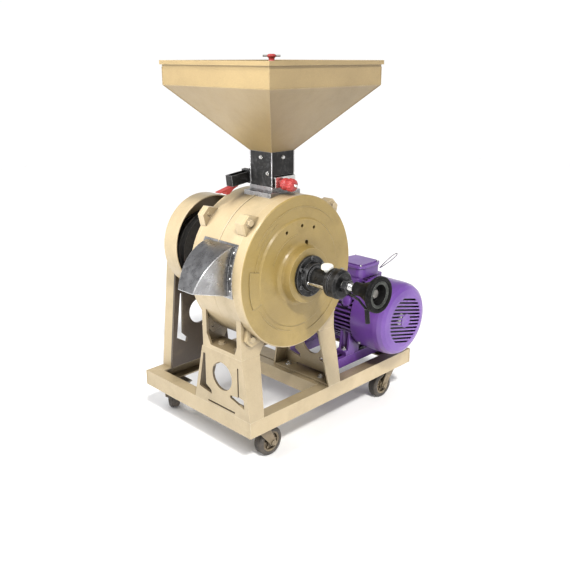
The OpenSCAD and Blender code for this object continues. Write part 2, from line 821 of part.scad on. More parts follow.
// Black feed neck with its gate slot and the straps that guide the magnet tray
module feed_neck() color("dimgray") place() {
    difference() {
        square_tube(neck_w, neck_t, neck_bottom, neck_top);
        translate([mill_x - 39, hopper_y - neck_w, gate_z - 2])
            cube([78, neck_w, gate_t + 4]);
        for (x = [mill_x - neck_w / 2, mill_x + neck_w / 2]) {
            bar_x(hopper_y, neck_top - 16, x - 5, 10, 2.8);
            bar_x(hopper_y - 26, neck_top - 58, x - 5, 10, 2.8);
        }
        bar_y(mill_x, neck_top - 16, hopper_y - neck_w, 2 * neck_w, 2.8);
    }
    tray_frame() for (x = [-2, 46]) translate([x, 0, 0]) difference() {
        translate([0, -17, -19]) cube([strap_w, 34, 38]);
        translate([-1, -tray_w / 2 - 0.5, -tray_h / 2 - 0.5])
            cube([strap_w + 2, tray_w + 1, tray_h + 1]);
    }
}

// Sliding gate plate with its bent front edge
module feed_gate() color("silver") place() {
    translate([mill_x - 38, hopper_y - neck_w / 2 - 8, gate_z])
        cube([76, neck_w - 4 + 8, gate_t]);
    translate([mill_x - 38, hopper_y - neck_w / 2 - 11, gate_z - 26])
        cube([76, 3, 26 + gate_t]);
}

knob_x = mill_x - 12;
knob_z = 700;
knob_back = hopper_y - neck_w / 2 - 11;

// Red grip of the gate on its screw
module gate_knob() color("crimson") place()
    translate([knob_x, knob_back, knob_z]) rotate([90, 0, 0]) rotate_extrude() polygon([
        [0, 0], [12, 0], [12, 4], [17, 6], [17, 16], [14, 18], [14, 22], [18, 24], [18, 40],
        [15, 45], [6, 47], [5, 47], [5, 54], [0, 55]
    ]);

// Frame of the magnet tray, which slopes down to the left behind the neck
module tray_frame()
    translate([neck_left, hopper_y + neck_w / 2 + 17, 712]) rotate([0, -tray_slope, 0])
        children();

module magnet_tray() color("dimgray") place() tray_frame() difference() {
    translate([-66, -tray_w / 2, -tray_h / 2]) cube([130, tray_w, tray_h]);
    translate([-63, -tray_w / 2 + 2, -tray_h / 2 + 2]) cube([124, tray_w - 4, tray_h]);
}

// Red pull under the outer end of the tray
module tray_handle() color("crimson") place() tray_frame()
    translate([0, 9, 0]) rotate([90, 0, 0]) linear_extrude(18) polygon([
        [-112, -21], [-66, -tray_h / 2], [-42, -tray_h / 2], [-42, -18], [-60, -23],
        [-76, -33], [-86, -33], [-88, -26], [-110, -24]
    ]);

collar_z = hopper_z - collar_h;

// Straight-sided pyramid between two squares
module pyramid(w0, w1, z0, z1)
    translate([mill_x, hopper_y, z0]) linear_extrude(z1 - z0, scale = w1 / w0)
        square(w0, center = true);

// Hopper of bent sheet with a stub that enters the neck
module hopper() color("darkkhaki") place() difference() {
    union() {
        pyramid(neck_w, hopper_w, neck_top, collar_z);
        translate([mill_x - hopper_w / 2, hopper_y - hopper_w / 2, collar_z])
            cube([hopper_w, hopper_w, collar_h]);
        translate([mill_x - neck_w / 2 + neck_t, hopper_y - neck_w / 2 + neck_t, neck_top - 30])
            cube([neck_w - 2 * neck_t, neck_w - 2 * neck_t, 31]);
    }
    pyramid(neck_w - 11, hopper_w - 2 * hopper_t, neck_top - 0.5, collar_z + 0.01);
    translate([
        mill_x - hopper_w / 2 + hopper_t, hopper_y - hopper_w / 2 + hopper_t, collar_z
    ]) cube([hopper_w - 2 * hopper_t, hopper_w - 2 * hopper_t, collar_h + 1]);
    translate([mill_x - neck_w / 2 + 5.5, hopper_y - neck_w / 2 + 5.5, neck_top - 31])
        cube([neck_w - 11, neck_w - 11, 32]);
    bar_x(hopper_y, neck_top - 16, mill_x - neck_w, 2 * neck_w, 2.8);
    bar_y(mill_x, neck_top - 16, hopper_y - neck_w, 2 * neck_w, 2.8);
}

rim_out = 5;
rim_h = 8;
rod_r = 6;
strap_top = hopper_z - 16;
rod_top = hopper_z - 4;

// Angle rim round the hopper's mouth, with the strap that guides the feed rod
module hopper_rim() color("peru") place() {
    square_tube(hopper_w + 2 * rim_out, rim_out, hopper_z - rim_h, hopper_z);
    square_tube(hopper_w + 2 * rim_out, rim_out + hopper_t + 3, hopper_z, hopper_z + 3);
    difference() {
        translate([mill_x - hopper_w / 2 + hopper_t, hopper_y - 12, strap_top - 3])
            cube([hopper_w - 2 * hopper_t, 24, 3]);
        translate([mill_x, hopper_y, strap_top - 4]) cylinder(h = 5, r = rod_r + 0.3);
    }
    for (side = [-1, 1]) translate([mill_x, hopper_y, strap_top - 1]) flipped(side)
        translate([hopper_w / 2 - hopper_t - 3, -12, 0]) cube([3, 24, hopper_z + 2 - strap_top]);
}

cone_z = neck_top + 8;

// Lifting rod with the feed cone at its foot
module feed_rod() color("silver") place() translate([mill_x, hopper_y, 0])
    rotate_extrude() polygon([
        [0, cone_z], [34, cone_z], [34, cone_z + 3], [rod_r, cone_z + 44],
        [rod_r, rod_top], [0, rod_top]
    ]);

// Red knob on the lifting rod, with a thin cross bar through it
module feed_wing() color("crimson") place() translate([mill_x, hopper_y, rod_top]) {
    rotate_extrude() polygon([
        [0, 0], [10, 0], [10, 3], [8, 6], [8, 12], [12, 16], [12, 20], [8, 23], [0, 23]
    ]);
    rotate(-45) bar_x(0, 18, -24, 48, 2.6);
}

// ---------- drive ----------

// Outline of a pulley with two V grooves, as radius and distance to the front
function pulley_points(r, bore) = concat(
    [[bore, -pulley_w / 2], [r, -pulley_w / 2]],
    [for (s = [-1, 1]) for (p = [[0, -9.5], [-14, -6.5], [-14, 6.5], [0, 9.5]])
        [r + p[0], s * groove_pitch / 2 + p[1]]],
    [[r, pulley_w / 2], [bore, pulley_w / 2]]
);

module mill_pulley() color("dimgray") place() difference() {
    translate([mill_x, belt_y, mill_z]) rotate([90, 0, 0])
        rotate_extrude() polygon(pulley_points(mill_pulley_r, shaft_r));
    translate([mill_x - 5, belt_y - 40, mill_z]) cube([10, 80, shaft_r + 4]);
}

module motor_pulley() color("dimgray") place()
    translate([motor_x, belt_y, motor_z]) rotate([90, 0, 0])
        rotate_extrude() polygon(pulley_points(motor_pulley_r, motor_shaft_r));

belt_dx = motor_x - mill_x;
belt_dz = motor_z - mill_z;
belt_angle = atan2(belt_dz, belt_dx);
belt_span = sqrt(belt_dx * belt_dx + belt_dz * belt_dz);

belt_steps = 48;

// Points along an arc of radius r about centre, from angle a0 to a1
function arc_points(centre, r, a0, a1) = [
    for (i = [0:belt_steps]) let (a = a0 + (a1 - a0) * i / belt_steps)
        centre + r * [cos(a), sin(a)]
];

// Area inside a belt that runs at depth d below both pulleys' rims, as x and z
module belt_area(d) {
    r1 = mill_pulley_r - d;
    r2 = motor_pulley_r - d;
    a = acos((r1 - r2) / belt_span);
    translate([mill_x, mill_z]) rotate(belt_angle) polygon(concat(
        arc_points([0, 0], r1, a, 360 - a),
        arc_points([belt_span, 0], r2, -a, a)
    ));
}

belt_depth = 13.2;

module drive_belts() color("black") place() for (s = [-1, 1])
    front_sheet(belt_y + s * groove_pitch / 2 - belt_w / 2, belt_w) difference() {
        belt_area(belt_depth - belt_h);
        belt_area(belt_depth);
    }

guard_front = 370;
guard_back = 430;
guard_t = 4;
guard_z = mill_z + 22;

// Round guard over the mill pulley, open to the front and where the belts leave
module belt_guard() color("tan") place() {
    front_sheet(guard_front, guard_back - guard_front) difference() {
        translate([mill_x, guard_z]) circle(r = guard_r);
        translate([mill_x, guard_z]) circle(r = guard_r - guard_t);
        translate([mill_x, mill_z]) rotate(belt_angle) translate([0, -130]) square([220, 260]);
    }
    front_sheet(guard_back - guard_t, guard_t) difference() {
        translate([mill_x, guard_z]) circle(r = guard_r - guard_t);
        translate([mill_x, mill_z]) circle(r = shaft_r + 8);
        translate([mill_x, mill_z]) rotate(belt_angle) translate([100, -130]) square([220, 260]);
    }
    for (p = [[-50, 40], [50, 40], [-60, -60]])
        bar_y(mill_x + p[0], mill_z + p[1], guard_back, rear_stand_y - guard_back, 8);
}

// ---------- motor ----------

core_r = fin_r - 15;
fin_t = 5.5;
cowl_t = 3;
boss_angle = 153;
boss_y = 87;

// Room taken by the four cast feet, down to their soles
module foot_blocks() for (y = foot_rows, side = [-1, 1])
    front_sheet(y - foot_w / 2 + 1, foot_w - 2) translate([motor_x, motor_z])
        flipped(side) polygon([
            [58, -motor_h], [124, -motor_h], [124, -motor_h + foot_t],
            [112, -motor_h + foot_t + 4], [104, -40], [60, -60]
        ]);

// Finned motor body, cut back where its feet are
module motor_frame() color("rebeccapurple") place() difference() {
    union() {
        front_sheet(frame_front, frame_back - frame_front) translate([motor_x, motor_z])
            for (i = [0:fin_count - 1]) rotate(i * 360 / fin_count + 180 / fin_count)
                translate([core_r - 3, -fin_t / 2]) square([fin_r - core_r + 3, fin_t]);
        front_sheet(frame_back - 12, 12) translate([motor_x, motor_z]) circle(r = fin_r);
        front_sheet(frame_front, 12) translate([motor_x, motor_z]) circle(r = cowl_r - cowl_t);
        front_sheet(frame_front, frame_back - frame_front) translate([motor_x, motor_z])
            circle(r = core_r);
        translate([box_x - 8, 74, motor_z + core_r - 4]) cube([box_w + 16, 107, 22]);
    }
    motor_cavity();
    difference() {
        foot_blocks();
        bar_y(motor_x, motor_z, frame_front, frame_back - frame_front, core_r);
    }
    translate([motor_x, boss_y, motor_z]) rotate([0, -boss_angle, 0])
        translate([core_r, 0, 0]) rotate([0, 90, 0]) cylinder(h = 40, r = 22);
}

// Cast feet under the motor body, with a spot-faced bolt hole each
module motor_feet() color("rebeccapurple") place() difference() {
    foot_blocks();
    bar_y(motor_x, motor_z, frame_front, frame_back - frame_front, core_r);
    for (y = foot_rows, side = [-1, 1])
        translate([motor_x + side * foot_bolt_dx, y, motor_z - motor_h - 1]) {
            cylinder(h = 90, r = hole_r);
            translate([0, 0, foot_t + 1]) cylinder(h = 90, r = 13);
        }
}

// Room inside the motor body for its rotor, and the shaft hole at its fan end
module motor_cavity() {
    bar_y(motor_x, motor_z, frame_front + 14, frame_back, 84);
    bar_y(motor_x, motor_z, frame_front - 1, 60, motor_shaft_r + run_gap);
}

bell_end = 350;

module drive_end_bell() color("rebeccapurple") place() motor_turned([
    [motor_shaft_r + run_gap, -bell_end], [46, -bell_end], [52, -bell_end + 6],
    [60, -frame_back - 26], [104, -frame_back - 18], [fin_r - 2, -frame_back - 10],
    [fin_r - 2, -frame_back], [70, -frame_back], [60, -frame_back - 12],
    [motor_shaft_r + run_gap, -frame_back - 30]
]);

slot_pitch = 11.8;
slot_tilt = 14;
slot_h = 6.4;

// Fan cowl with a slotted face
module fan_cowl() color("mediumpurple") place() difference() {
    motor_turned([
        [0, -cowl_front], [cowl_r - 34, -cowl_front], [cowl_r - 19, -cowl_front - 4],
        [cowl_r - 8, -cowl_front - 12], [cowl_r - 2, -cowl_front - 25],
        [cowl_r, -cowl_front - 40], [cowl_r, -cowl_back],
        [cowl_r - cowl_t, -cowl_back], [cowl_r - cowl_t, -cowl_front - 41],
        [cowl_r - 5, -cowl_front - 27], [cowl_r - 10, -cowl_front - 15],
        [cowl_r - 20, -cowl_front - 7], [cowl_r - 35, -cowl_front - cowl_t],
        [0, -cowl_front - cowl_t]
    ]);
    intersection() {
        translate([motor_x, cowl_front - 5, motor_z]) rotate([0, slot_tilt, 0])
            for (i = [-6:6]) translate([-cowl_r, 0, i * slot_pitch - slot_h / 2])
                cube([2 * cowl_r, 12, slot_h]);
        translate([motor_x, cowl_front + 10, motor_z]) rotate([90, 0, 0]) difference() {
            cylinder(h = 20, r = 80);
            translate([0, 0, -1]) cylinder(h = 22, r = 21);
        }
    }
}

fan_front = -56;

module cooling_fan() color("dimgray") place() translate([motor_x, fan_front, motor_z])
    rotate([-90, 0, 0]) difference() {
        union() {
            cylinder(h = 34, r = 30);
            cylinder(h = 3, r = 100);
            for (a = [0:45:315]) rotate(a) translate([26, -1.5, 0]) cube([76, 3, 32]);
        }
        translate([0, 0, -1]) cylinder(h = 40, r = motor_shaft_r);
    }

shaft_end = 435;

// Motor shaft and rotor core
module motor_rotor() color("silver") place() {
    bar_y(motor_x, motor_z, fan_front, shaft_end - fan_front, motor_shaft_r);
    front_sheet(80, 180) translate([motor_x, motor_z]) difference() {
        circle(r = 70);
        circle(r = motor_shaft_r);
    }
}

box_x = 560;
box_w = 108;
box_front = 70;
box_d = 115;
box_top = 380;

// Terminal box layer with round corners, inset by i from the box's sides
module box_layer(i, z0, z1) {
    r = 26 - i;
    w = box_w - 2 * i;
    d = box_d - 2 * i;
    translate([box_x + i, box_front + i, z0]) linear_extrude(z1 - z0) {
        translate([r, 0]) square([w - 2 * r, d]);
        translate([0, r]) square([w, d - 2 * r]);
        for (x = [r, w - r], y = [r, d - r]) translate([x, y]) circle(r = r);
    }
}

// Terminal box with its lid, and the cable gland on the motor's side
module terminal_box() color("rebeccapurple") place() {
    difference() {
        box_layer(0, motor_z + core_r + 18, box_top - 12);
        box_layer(5, motor_z + core_r + 23, box_top);
    }
    box_layer(-3, box_top - 12, box_top - 4);
    box_layer(8, box_top - 4, box_top);
    translate([motor_x, boss_y, motor_z]) rotate([0, -boss_angle, 0]) rotate([0, 90, 0])
        rotate_extrude() polygon([
            [0, core_r], [19, core_r], [19, core_r + 14], [16, core_r + 20], [9, core_r + 23],
            [0, core_r + 24]
        ]);
}

loop_r = 1.5;
loop_half = 8;
loop_l = 74;
loop_lean = 47;

// Wire tag loop on a lug that fits the corner of the terminal box
module tag_loop() color("gray") place() difference() {
    translate([box_x + box_w + 5, box_front + 2, box_top - 24]) rotate([loop_lean, 0, 0]) {
        for (side = [-1, 1]) translate([0, side * loop_half, 0])
            cylinder(h = loop_l + 0.6, r = loop_r + 0.3);
        translate([0, 0, loop_l]) rotate([90, 0, 90]) rotate_extrude(angle = 180)
            translate([loop_half, 0]) circle(r = loop_r);
        translate([-13, -loop_half - 4, -6]) cube([16, 2 * loop_half + 8, 8]);
    }
    box_layer(0, box_top - 60, box_top - 12);
    box_layer(-3, box_top - 12, box_top - 4);
}

front_rail();
rear_rail();
left_rail();
right_rail();
cross_rail();
slide_rails();
frame_bolts();
left_stand();
right_stand();
rear_stand();
caster_plates();
caster_fork_1();
caster_fork_2();
caster_fork_3();
caster_fork_4();
caster_wheel_1();
caster_wheel_2();
caster_wheel_3();
caster_wheel_4();
mill_casing();
front_cover();
rear_cover();
mill_bolts();
fixed_stone();
runner_stone();
stone_plate();
main_shaft();
front_bearing();
rear_bearing();
bearing_cap();
adjuster_barrel();
adjuster_collar();
oil_cup();
adjusting_screw();
thrust_cup();
lock_lever();
hand_wheel();
discharge_chute();
inlet_boot();
feed_neck();
feed_gate();
gate_knob();
magnet_tray();
tray_handle();
hopper();
hopper_rim();
feed_rod();
feed_wing();
mill_pulley();
motor_pulley();
drive_belts();
belt_guard();
motor_frame();
motor_feet();
drive_end_bell();
fan_cowl();
cooling_fan();
motor_rotor();
terminal_box();
tag_loop();
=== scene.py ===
"""Looks of the stone flour mill: camera, studio, materials and detail pieces round the model."""

import json
import math

import bpy
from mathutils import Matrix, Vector


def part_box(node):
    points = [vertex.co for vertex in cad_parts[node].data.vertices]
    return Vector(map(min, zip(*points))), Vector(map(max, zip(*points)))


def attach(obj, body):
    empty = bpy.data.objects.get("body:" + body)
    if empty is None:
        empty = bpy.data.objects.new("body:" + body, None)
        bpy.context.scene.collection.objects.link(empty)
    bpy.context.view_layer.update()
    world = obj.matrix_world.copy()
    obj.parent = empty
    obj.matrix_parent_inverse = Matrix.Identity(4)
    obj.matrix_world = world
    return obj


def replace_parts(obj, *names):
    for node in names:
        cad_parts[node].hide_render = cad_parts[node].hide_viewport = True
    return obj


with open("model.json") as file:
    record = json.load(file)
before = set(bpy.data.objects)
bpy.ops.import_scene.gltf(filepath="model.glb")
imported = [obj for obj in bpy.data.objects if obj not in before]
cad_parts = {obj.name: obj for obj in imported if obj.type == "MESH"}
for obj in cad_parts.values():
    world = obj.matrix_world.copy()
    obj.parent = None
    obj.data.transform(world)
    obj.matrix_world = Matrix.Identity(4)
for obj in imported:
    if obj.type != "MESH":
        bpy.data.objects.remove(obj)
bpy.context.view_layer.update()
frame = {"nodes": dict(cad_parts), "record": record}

MM = 0.001
TAU = 2 * math.pi
X, Y, Z = Vector((1, 0, 0)), Vector((0, 1, 0)), Vector((0, 0, 1))
FRONT = -Y

# ---------- places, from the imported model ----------


def middle(node):
    """Middle of a CAD node's box."""
    low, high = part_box(node)
    return (low + high) / 2


rail_low, rail_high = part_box("front_rail")
BASE = rail_low.copy()                      # front left corner of the base, under the rails
MILL = middle("main_shaft")
MOTOR = middle("motor_rotor")
HOPPER_LOW, HOPPER_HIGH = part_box("hopper")
COLLAR_Z = HOPPER_HIGH.z - 60 * MM
NECK_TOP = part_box("feed_neck")[1].z
NECK_X, NECK_Y, NECK_HALF = 193, 106, 42.5  # middle and half width of the neck, in millimetres
RAIL_TOP = 50                               # height of the rails, in millimetres


def base_point(x, y, z):
    """A point given in millimetres from the front left corner of the base."""
    return BASE + Vector((x, y, z)) * MM


def mill_point(radius, angle, forward):
    """A point about the mill shaft, at an angle seen from the front. forward is millimetres
    out from the front of the base."""
    a = math.radians(angle)
    return Vector((
        MILL.x + radius * MM * math.cos(a),
        BASE.y - forward * MM,
        MILL.z + radius * MM * math.sin(a),
    ))


# ---------- camera, studio ----------


def make_camera():
    data = bpy.data.cameras.new("camera")
    data.lens = 44.55
    data.sensor_width = 36
    camera = bpy.data.objects.new("camera", data)
    camera.location = base_point(-1178.1, -1315.7, 1033.8)
    camera.rotation_euler = (math.radians(72), 0, math.radians(-45))
    bpy.context.scene.collection.objects.link(camera)
    bpy.context.scene.camera = camera


def area_light(name, location, target, size, power, spread=180):
    data = bpy.data.lights.new(name, "AREA")
    data.shape = "RECTANGLE"
    data.size, data.size_y = size
    data.energy = power
    data.spread = math.radians(spread)
    light = bpy.data.objects.new(name, data)
    light.location = location
    aim = Vector(target) - Vector(location)
    light.rotation_euler = aim.to_track_quat("-Z", "Y").to_euler()
    bpy.context.scene.collection.objects.link(light)


def make_studio():
    """A broad light from the front and above, softboxes on the left and low down, a white room."""
    data = bpy.data.lights.new("broad_light", "SUN")
    data.energy = 2.9
    data.angle = math.radians(7)
    data.color = (1, 0.98, 0.95)
    broad = bpy.data.objects.new("broad_light", data)
    broad.rotation_euler = Vector((0.32, 0.56, -0.76)).to_track_quat("-Z", "Y").to_euler()
    bpy.context.scene.collection.objects.link(broad)
    area_light("left_light", (-1.9, 0.4, 2.5), (0, 0, 0.95), (1.2, 1.2), 56)
    area_light("low_light", (0.7, -2.4, 0.2), (0.1, 0, -0.3), (1.2, 0.3), 3, spread=34)
    area_light("hopper_light", (-2.2, 0.2, 0.5), (-0.2, 0, 1.0), (0.6, 0.4), 1.2, spread=36)
    world = bpy.data.worlds.new("studio")
    world.use_nodes = True
    nodes, links = world.node_tree.nodes, world.node_tree.links
    place = nodes.new("ShaderNodeTexCoord")
    height = nodes.new("ShaderNodeSeparateXYZ")
    ramp = nodes.new("ShaderNodeValToRGB")
    ramp.color_ramp.elements[0].position = 0.16
    ramp.color_ramp.elements[0].color = (1.02, 1.02, 1.02, 1)
    ramp.color_ramp.elements[1].position = 0.42
    ramp.color_ramp.elements[1].color = (0.34, 0.34, 0.35, 1)
    links.new(place.outputs["Generated"], height.inputs["Vector"])
    links.new(height.outputs["Z"], ramp.inputs["Fac"])
    links.new(ramp.outputs["Color"], nodes["Background"].inputs["Color"])
    bpy.context.scene.world = world
    bpy.context.scene.view_settings.view_transform = "Standard"


def make_floor():
    half = 6.0
    mesh = bpy.data.meshes.new("floor")
    mesh.from_pydata([(-half, -half, 0), (half, -half, 0), (half, half, 0), (-half, half, 0)],
                     [], [(0, 1, 2, 3)])
    floor = bpy.data.objects.new("floor", mesh)
    bpy.context.scene.collection.objects.link(floor)
    surface = Surface("floor_surface", roughness=0.75)
    grain = surface.noise(3.0, 2)
    surface.colour(surface.ramp(grain, [(0.3, 0.96), (0.7, 0.98)]))
    mesh.materials.append(surface.material)


# ---------- materials ----------


class Surface:
    """A Principled material whose textures are worked out in the machine's own space."""

    def __init__(self, name, metallic=0.0, roughness=0.5, coat=0.0, coat_roughness=0.1, ior=1.5):
        self.material = bpy.data.materials.new(name)
        self.material.use_nodes = True
        self.tree = self.material.node_tree
        self.shader = self.tree.nodes["Principled BSDF"]
        for socket, value in (
                ("Metallic", metallic), ("Roughness", roughness), ("Coat Weight", coat),
                ("Coat Roughness", coat_roughness), ("IOR", ior)):
            self.shader.inputs[socket].default_value = value
        self.place = self.node("ShaderNodeTexCoord").outputs["Object"]

    def node(self, kind, **settings):
        made = self.tree.nodes.new(kind)
        for key, value in settings.items():
            setattr(made, key, value)
        return made

    def link(self, source, target):
        self.tree.links.new(source, target)

    def stretched(self, x, y, z):
        """The object's space with each axis scaled."""
        mapping = self.node("ShaderNodeMapping")
        mapping.inputs["Scale"].default_value = (x, y, z)
        self.link(self.place, mapping.inputs["Vector"])
        return mapping.outputs["Vector"]

    def noise(self, scale, detail=4, rough=0.55, space=None, distortion=0.0):
        made = self.node("ShaderNodeTexNoise")
        made.inputs["Scale"].default_value = scale
        made.inputs["Detail"].default_value = detail
        made.inputs["Roughness"].default_value = rough
        made.inputs["Distortion"].default_value = distortion
        self.link(space or self.place, made.inputs["Vector"])
        return made.outputs["Fac"]

    def cells(self, scale, output="Distance"):
        made = self.node("ShaderNodeTexVoronoi")
        made.inputs["Scale"].default_value = scale
        self.link(self.place, made.inputs["Vector"])
        return made.outputs[output]

    def ramp(self, factor, stops):
        """A colour ramp. A stop's value is a colour, or one number for a grey."""
        made = self.node("ShaderNodeValToRGB")
        elements = made.color_ramp.elements
        while len(elements) < len(stops):
            elements.new(0.5)
        for element, (position, value) in zip(elements, stops):
            shade = (value,) * 3 if isinstance(value, (int, float)) else value
            element.position = position
            element.color = (*shade, 1)
        self.link(factor, made.inputs["Fac"])
        return made.outputs["Color"]

    def maths(self, operation, a, b=None, clamp=False):
        made = self.node("ShaderNodeMath", operation=operation, use_clamp=clamp)
        for socket, value in zip(made.inputs, (a, b)):
            if value is None:
                continue
            if isinstance(value, (int, float)):
                socket.default_value = value
            else:
                self.link(value, socket)
        return made.outputs[0]

    def mixed(self, factor, a, b, blend="MIX"):
        """Two colours mixed. A colour is a socket or three numbers."""
        made = self.node("ShaderNodeMix", data_type="RGBA", blend_type=blend)
        if isinstance(factor, (int, float)):
            made.inputs[0].default_value = factor
        else:
            self.link(factor, made.inputs[0])
        for socket, value in ((made.inputs[6], a), (made.inputs[7], b)):
            if isinstance(value, tuple):
                socket.default_value = (*value, 1)
            else:
                self.link(value, socket)
        return made.outputs[2]

    def edges(self, radius):
        """White along edges and corners, from how far a rounded normal leans from the true one."""
        rounded = self.node("ShaderNodeBevel", samples=6)
        rounded.inputs["Radius"].default_value = radius
        geometry = self.node("ShaderNodeNewGeometry")
        product = self.node("ShaderNodeVectorMath", operation="DOT_PRODUCT")
        self.link(rounded.outputs["Normal"], product.inputs[0])
        self.link(geometry.outputs["Normal"], product.inputs[1])
        lean = self.maths("SUBTRACT", 1.0, product.outputs["Value"])
        return self.ramp(lean, [(0.02, 0.0), (0.35, 1.0)])

    def hollows(self, distance):
        """White deep in corners and under overhangs."""
        made = self.node("ShaderNodeAmbientOcclusion", samples=8)
        made.inputs["Distance"].default_value = distance
        return self.ramp(made.outputs["AO"], [(0.2, 1.0), (0.8, 0.0)])

    def below(self, height, fade):
        """White under a height above the floor, fading out over a distance above it."""
        parts = self.node("ShaderNodeSeparateXYZ")
        self.link(self.place, parts.inputs["Vector"])
        rise = self.maths("DIVIDE", self.maths("SUBTRACT", parts.outputs["Z"], height), fade)
        return self.ramp(rise, [(0.0, 1.0), (1.0, 0.0)])

    def beyond(self, radius):
        """White further than a radius in metres from the mill shaft."""
        offset = self.node("ShaderNodeVectorMath", operation="SUBTRACT")
        self.link(self.place, offset.inputs[0])
        offset.inputs[1].default_value = MILL
        flat = self.node("ShaderNodeVectorMath", operation="MULTIPLY")
        self.link(offset.outputs["Vector"], flat.inputs[0])
        flat.inputs[1].default_value = (1, 0, 1)
        length = self.node("ShaderNodeVectorMath", operation="LENGTH")
        self.link(flat.outputs["Vector"], length.inputs[0])
        return self.maths("GREATER_THAN", length.outputs["Value"], radius)

    def in_front_of(self, y):
        """White in front of a plane."""
        parts = self.node("ShaderNodeSeparateXYZ")
        self.link(self.place, parts.inputs["Vector"])
        return self.maths("LESS_THAN", parts.outputs["Y"], y)

    def within(self, low, high):
        """White inside a box."""
        scaled = self.place
        for operation, amount in (("SUBTRACT", (low + high) / 2), ("DIVIDE", (high - low) / 2)):
            step = self.node("ShaderNodeVectorMath", operation=operation)
            self.link(scaled, step.inputs[0])
            step.inputs[1].default_value = amount
            scaled = step.outputs["Vector"]
        size = self.node("ShaderNodeVectorMath", operation="ABSOLUTE")
        self.link(scaled, size.inputs[0])
        parts = self.node("ShaderNodeSeparateXYZ")
        self.link(size.outputs["Vector"], parts.inputs["Vector"])
        furthest = self.maths("MAXIMUM", self.maths("MAXIMUM", *parts.outputs[:2]), parts.outputs[2])
        return self.maths("LESS_THAN", furthest, 1.0)

    def facing(self, direction):
        """White where the surface faces a direction."""
        geometry = self.node("ShaderNodeNewGeometry")
        product = self.node("ShaderNodeVectorMath", operation="DOT_PRODUCT")
        self.link(geometry.outputs["True Normal"], product.inputs[0])
        product.inputs[1].default_value = direction
        return self.maths("GREATER_THAN", product.outputs["Value"], 0.5)

    def colour(self, source):
        self.link(source, self.shader.inputs["Base Color"])

    def rough(self, source):
        self.link(source, self.shader.inputs["Roughness"])

    def bump(self, height, distance, strength=1.0, rounding=0.0):
        """Relief of a given height in metres, over edges rounded by the given radius."""
        made = self.node("ShaderNodeBump")
        made.inputs["Distance"].default_value = distance
        made.inputs["Strength"].default_value = strength
        self.link(height, made.inputs["Height"])
        if rounding:
            rounded = self.node("ShaderNodeBevel", samples=6)
            rounded.inputs["Radius"].default_value = rounding
            self.link(rounded.outputs["Normal"], made.inputs["Normal"])
        self.link(made.outputs["Normal"], self.shader.inputs["Normal"])


def enamel(name, tone, shade, edge, grain=0.0005, grain_scale=150, roughness=(0.32, 0.5),
           coat=0.2, wear=0.4, dirt=0.3, darker_below=None, zone=None, zone_tone=None):
    """Sprayed paint: soft drifts of colour, fine specks, dust in patches, painted shade in corners and
    under overhangs and thin worn edges.
    A height, a fade and an amount darken the paint under that height. A mask can pick a part of the
    surface that takes a tone of its own, which keeps painted shade to one side of the mask."""
    surface = Surface(name, coat=coat, coat_roughness=0.22)
    drift = surface.noise(5.0, 3)
    body = surface.ramp(drift, [(0.32, shade), (0.68, tone)])
    if zone:
        body = surface.mixed(zone(surface), body, zone_tone)
    specks = surface.ramp(surface.noise(420, 2), [(0.42, 0.82), (0.6, 1.0)])
    body = surface.mixed(0.4, body, specks, "MULTIPLY")
    patches = surface.ramp(surface.noise(14, 5, 0.7), [(0.5, 0.0), (0.78, 1.0)])
    dirt_and_shade_tone = tuple(0.45 * c for c in shade)
    body = surface.mixed(surface.maths("MULTIPLY", patches, dirt), body, dirt_and_shade_tone)
    # Painted shade: the paint is darkened deep in corners and under overhangs.
    body = surface.mixed(surface.maths("MULTIPLY", surface.hollows(0.15), 0.95), body,
                         tuple(k * c for k, c in zip((0.2, 0.17, 0.13), shade)))
    # The paint darkens towards the bottom, below the given height.
    if darker_below:
        body = surface.mixed(surface.maths("MULTIPLY", surface.below(*darker_below[:2]), darker_below[2]),
                             body, tuple(0.4 * c for c in shade))
    worn = surface.maths("MULTIPLY", surface.edges(0.003), surface.noise(60, 4, 0.7))
    worn = surface.maths("MULTIPLY", worn, wear * 2, clamp=True)
    surface.colour(surface.mixed(worn, body, edge))
    low, high = roughness
    surface.rough(surface.ramp(surface.noise(28, 5, 0.65), [(0.3, low), (0.7, high)]))
    height = surface.maths("ADD", surface.noise(grain_scale, 4, 0.6),
                           surface.maths("MULTIPLY", surface.noise(22, 2), 1.6))
    surface.bump(height, grain, 0.8, 0.0015)
    return surface.material


def metal(name, bright, dull, roughness):
    """Bare steel with fine drawn lines, faint stains and brighter edges."""
    surface = Surface(name, metallic=1.0)
    stains = surface.noise(38, 5, 0.7)
    body = surface.ramp(stains, [(0.35, dull), (0.7, bright)])
    rub = surface.edges(0.0015)
    surface.colour(surface.mixed(surface.maths("MULTIPLY", rub, 0.6), body, (0.9, 0.9, 0.88)))
    drawn = surface.noise(1.0, 3, 0.6, surface.stretched(40, 40, 900))
    low, high = roughness
    surface.rough(surface.ramp(drawn, [(0.3, low), (0.75, high)]))
    surface.bump(drawn, 0.00006, 0.6, 0.0006)
    return surface.material


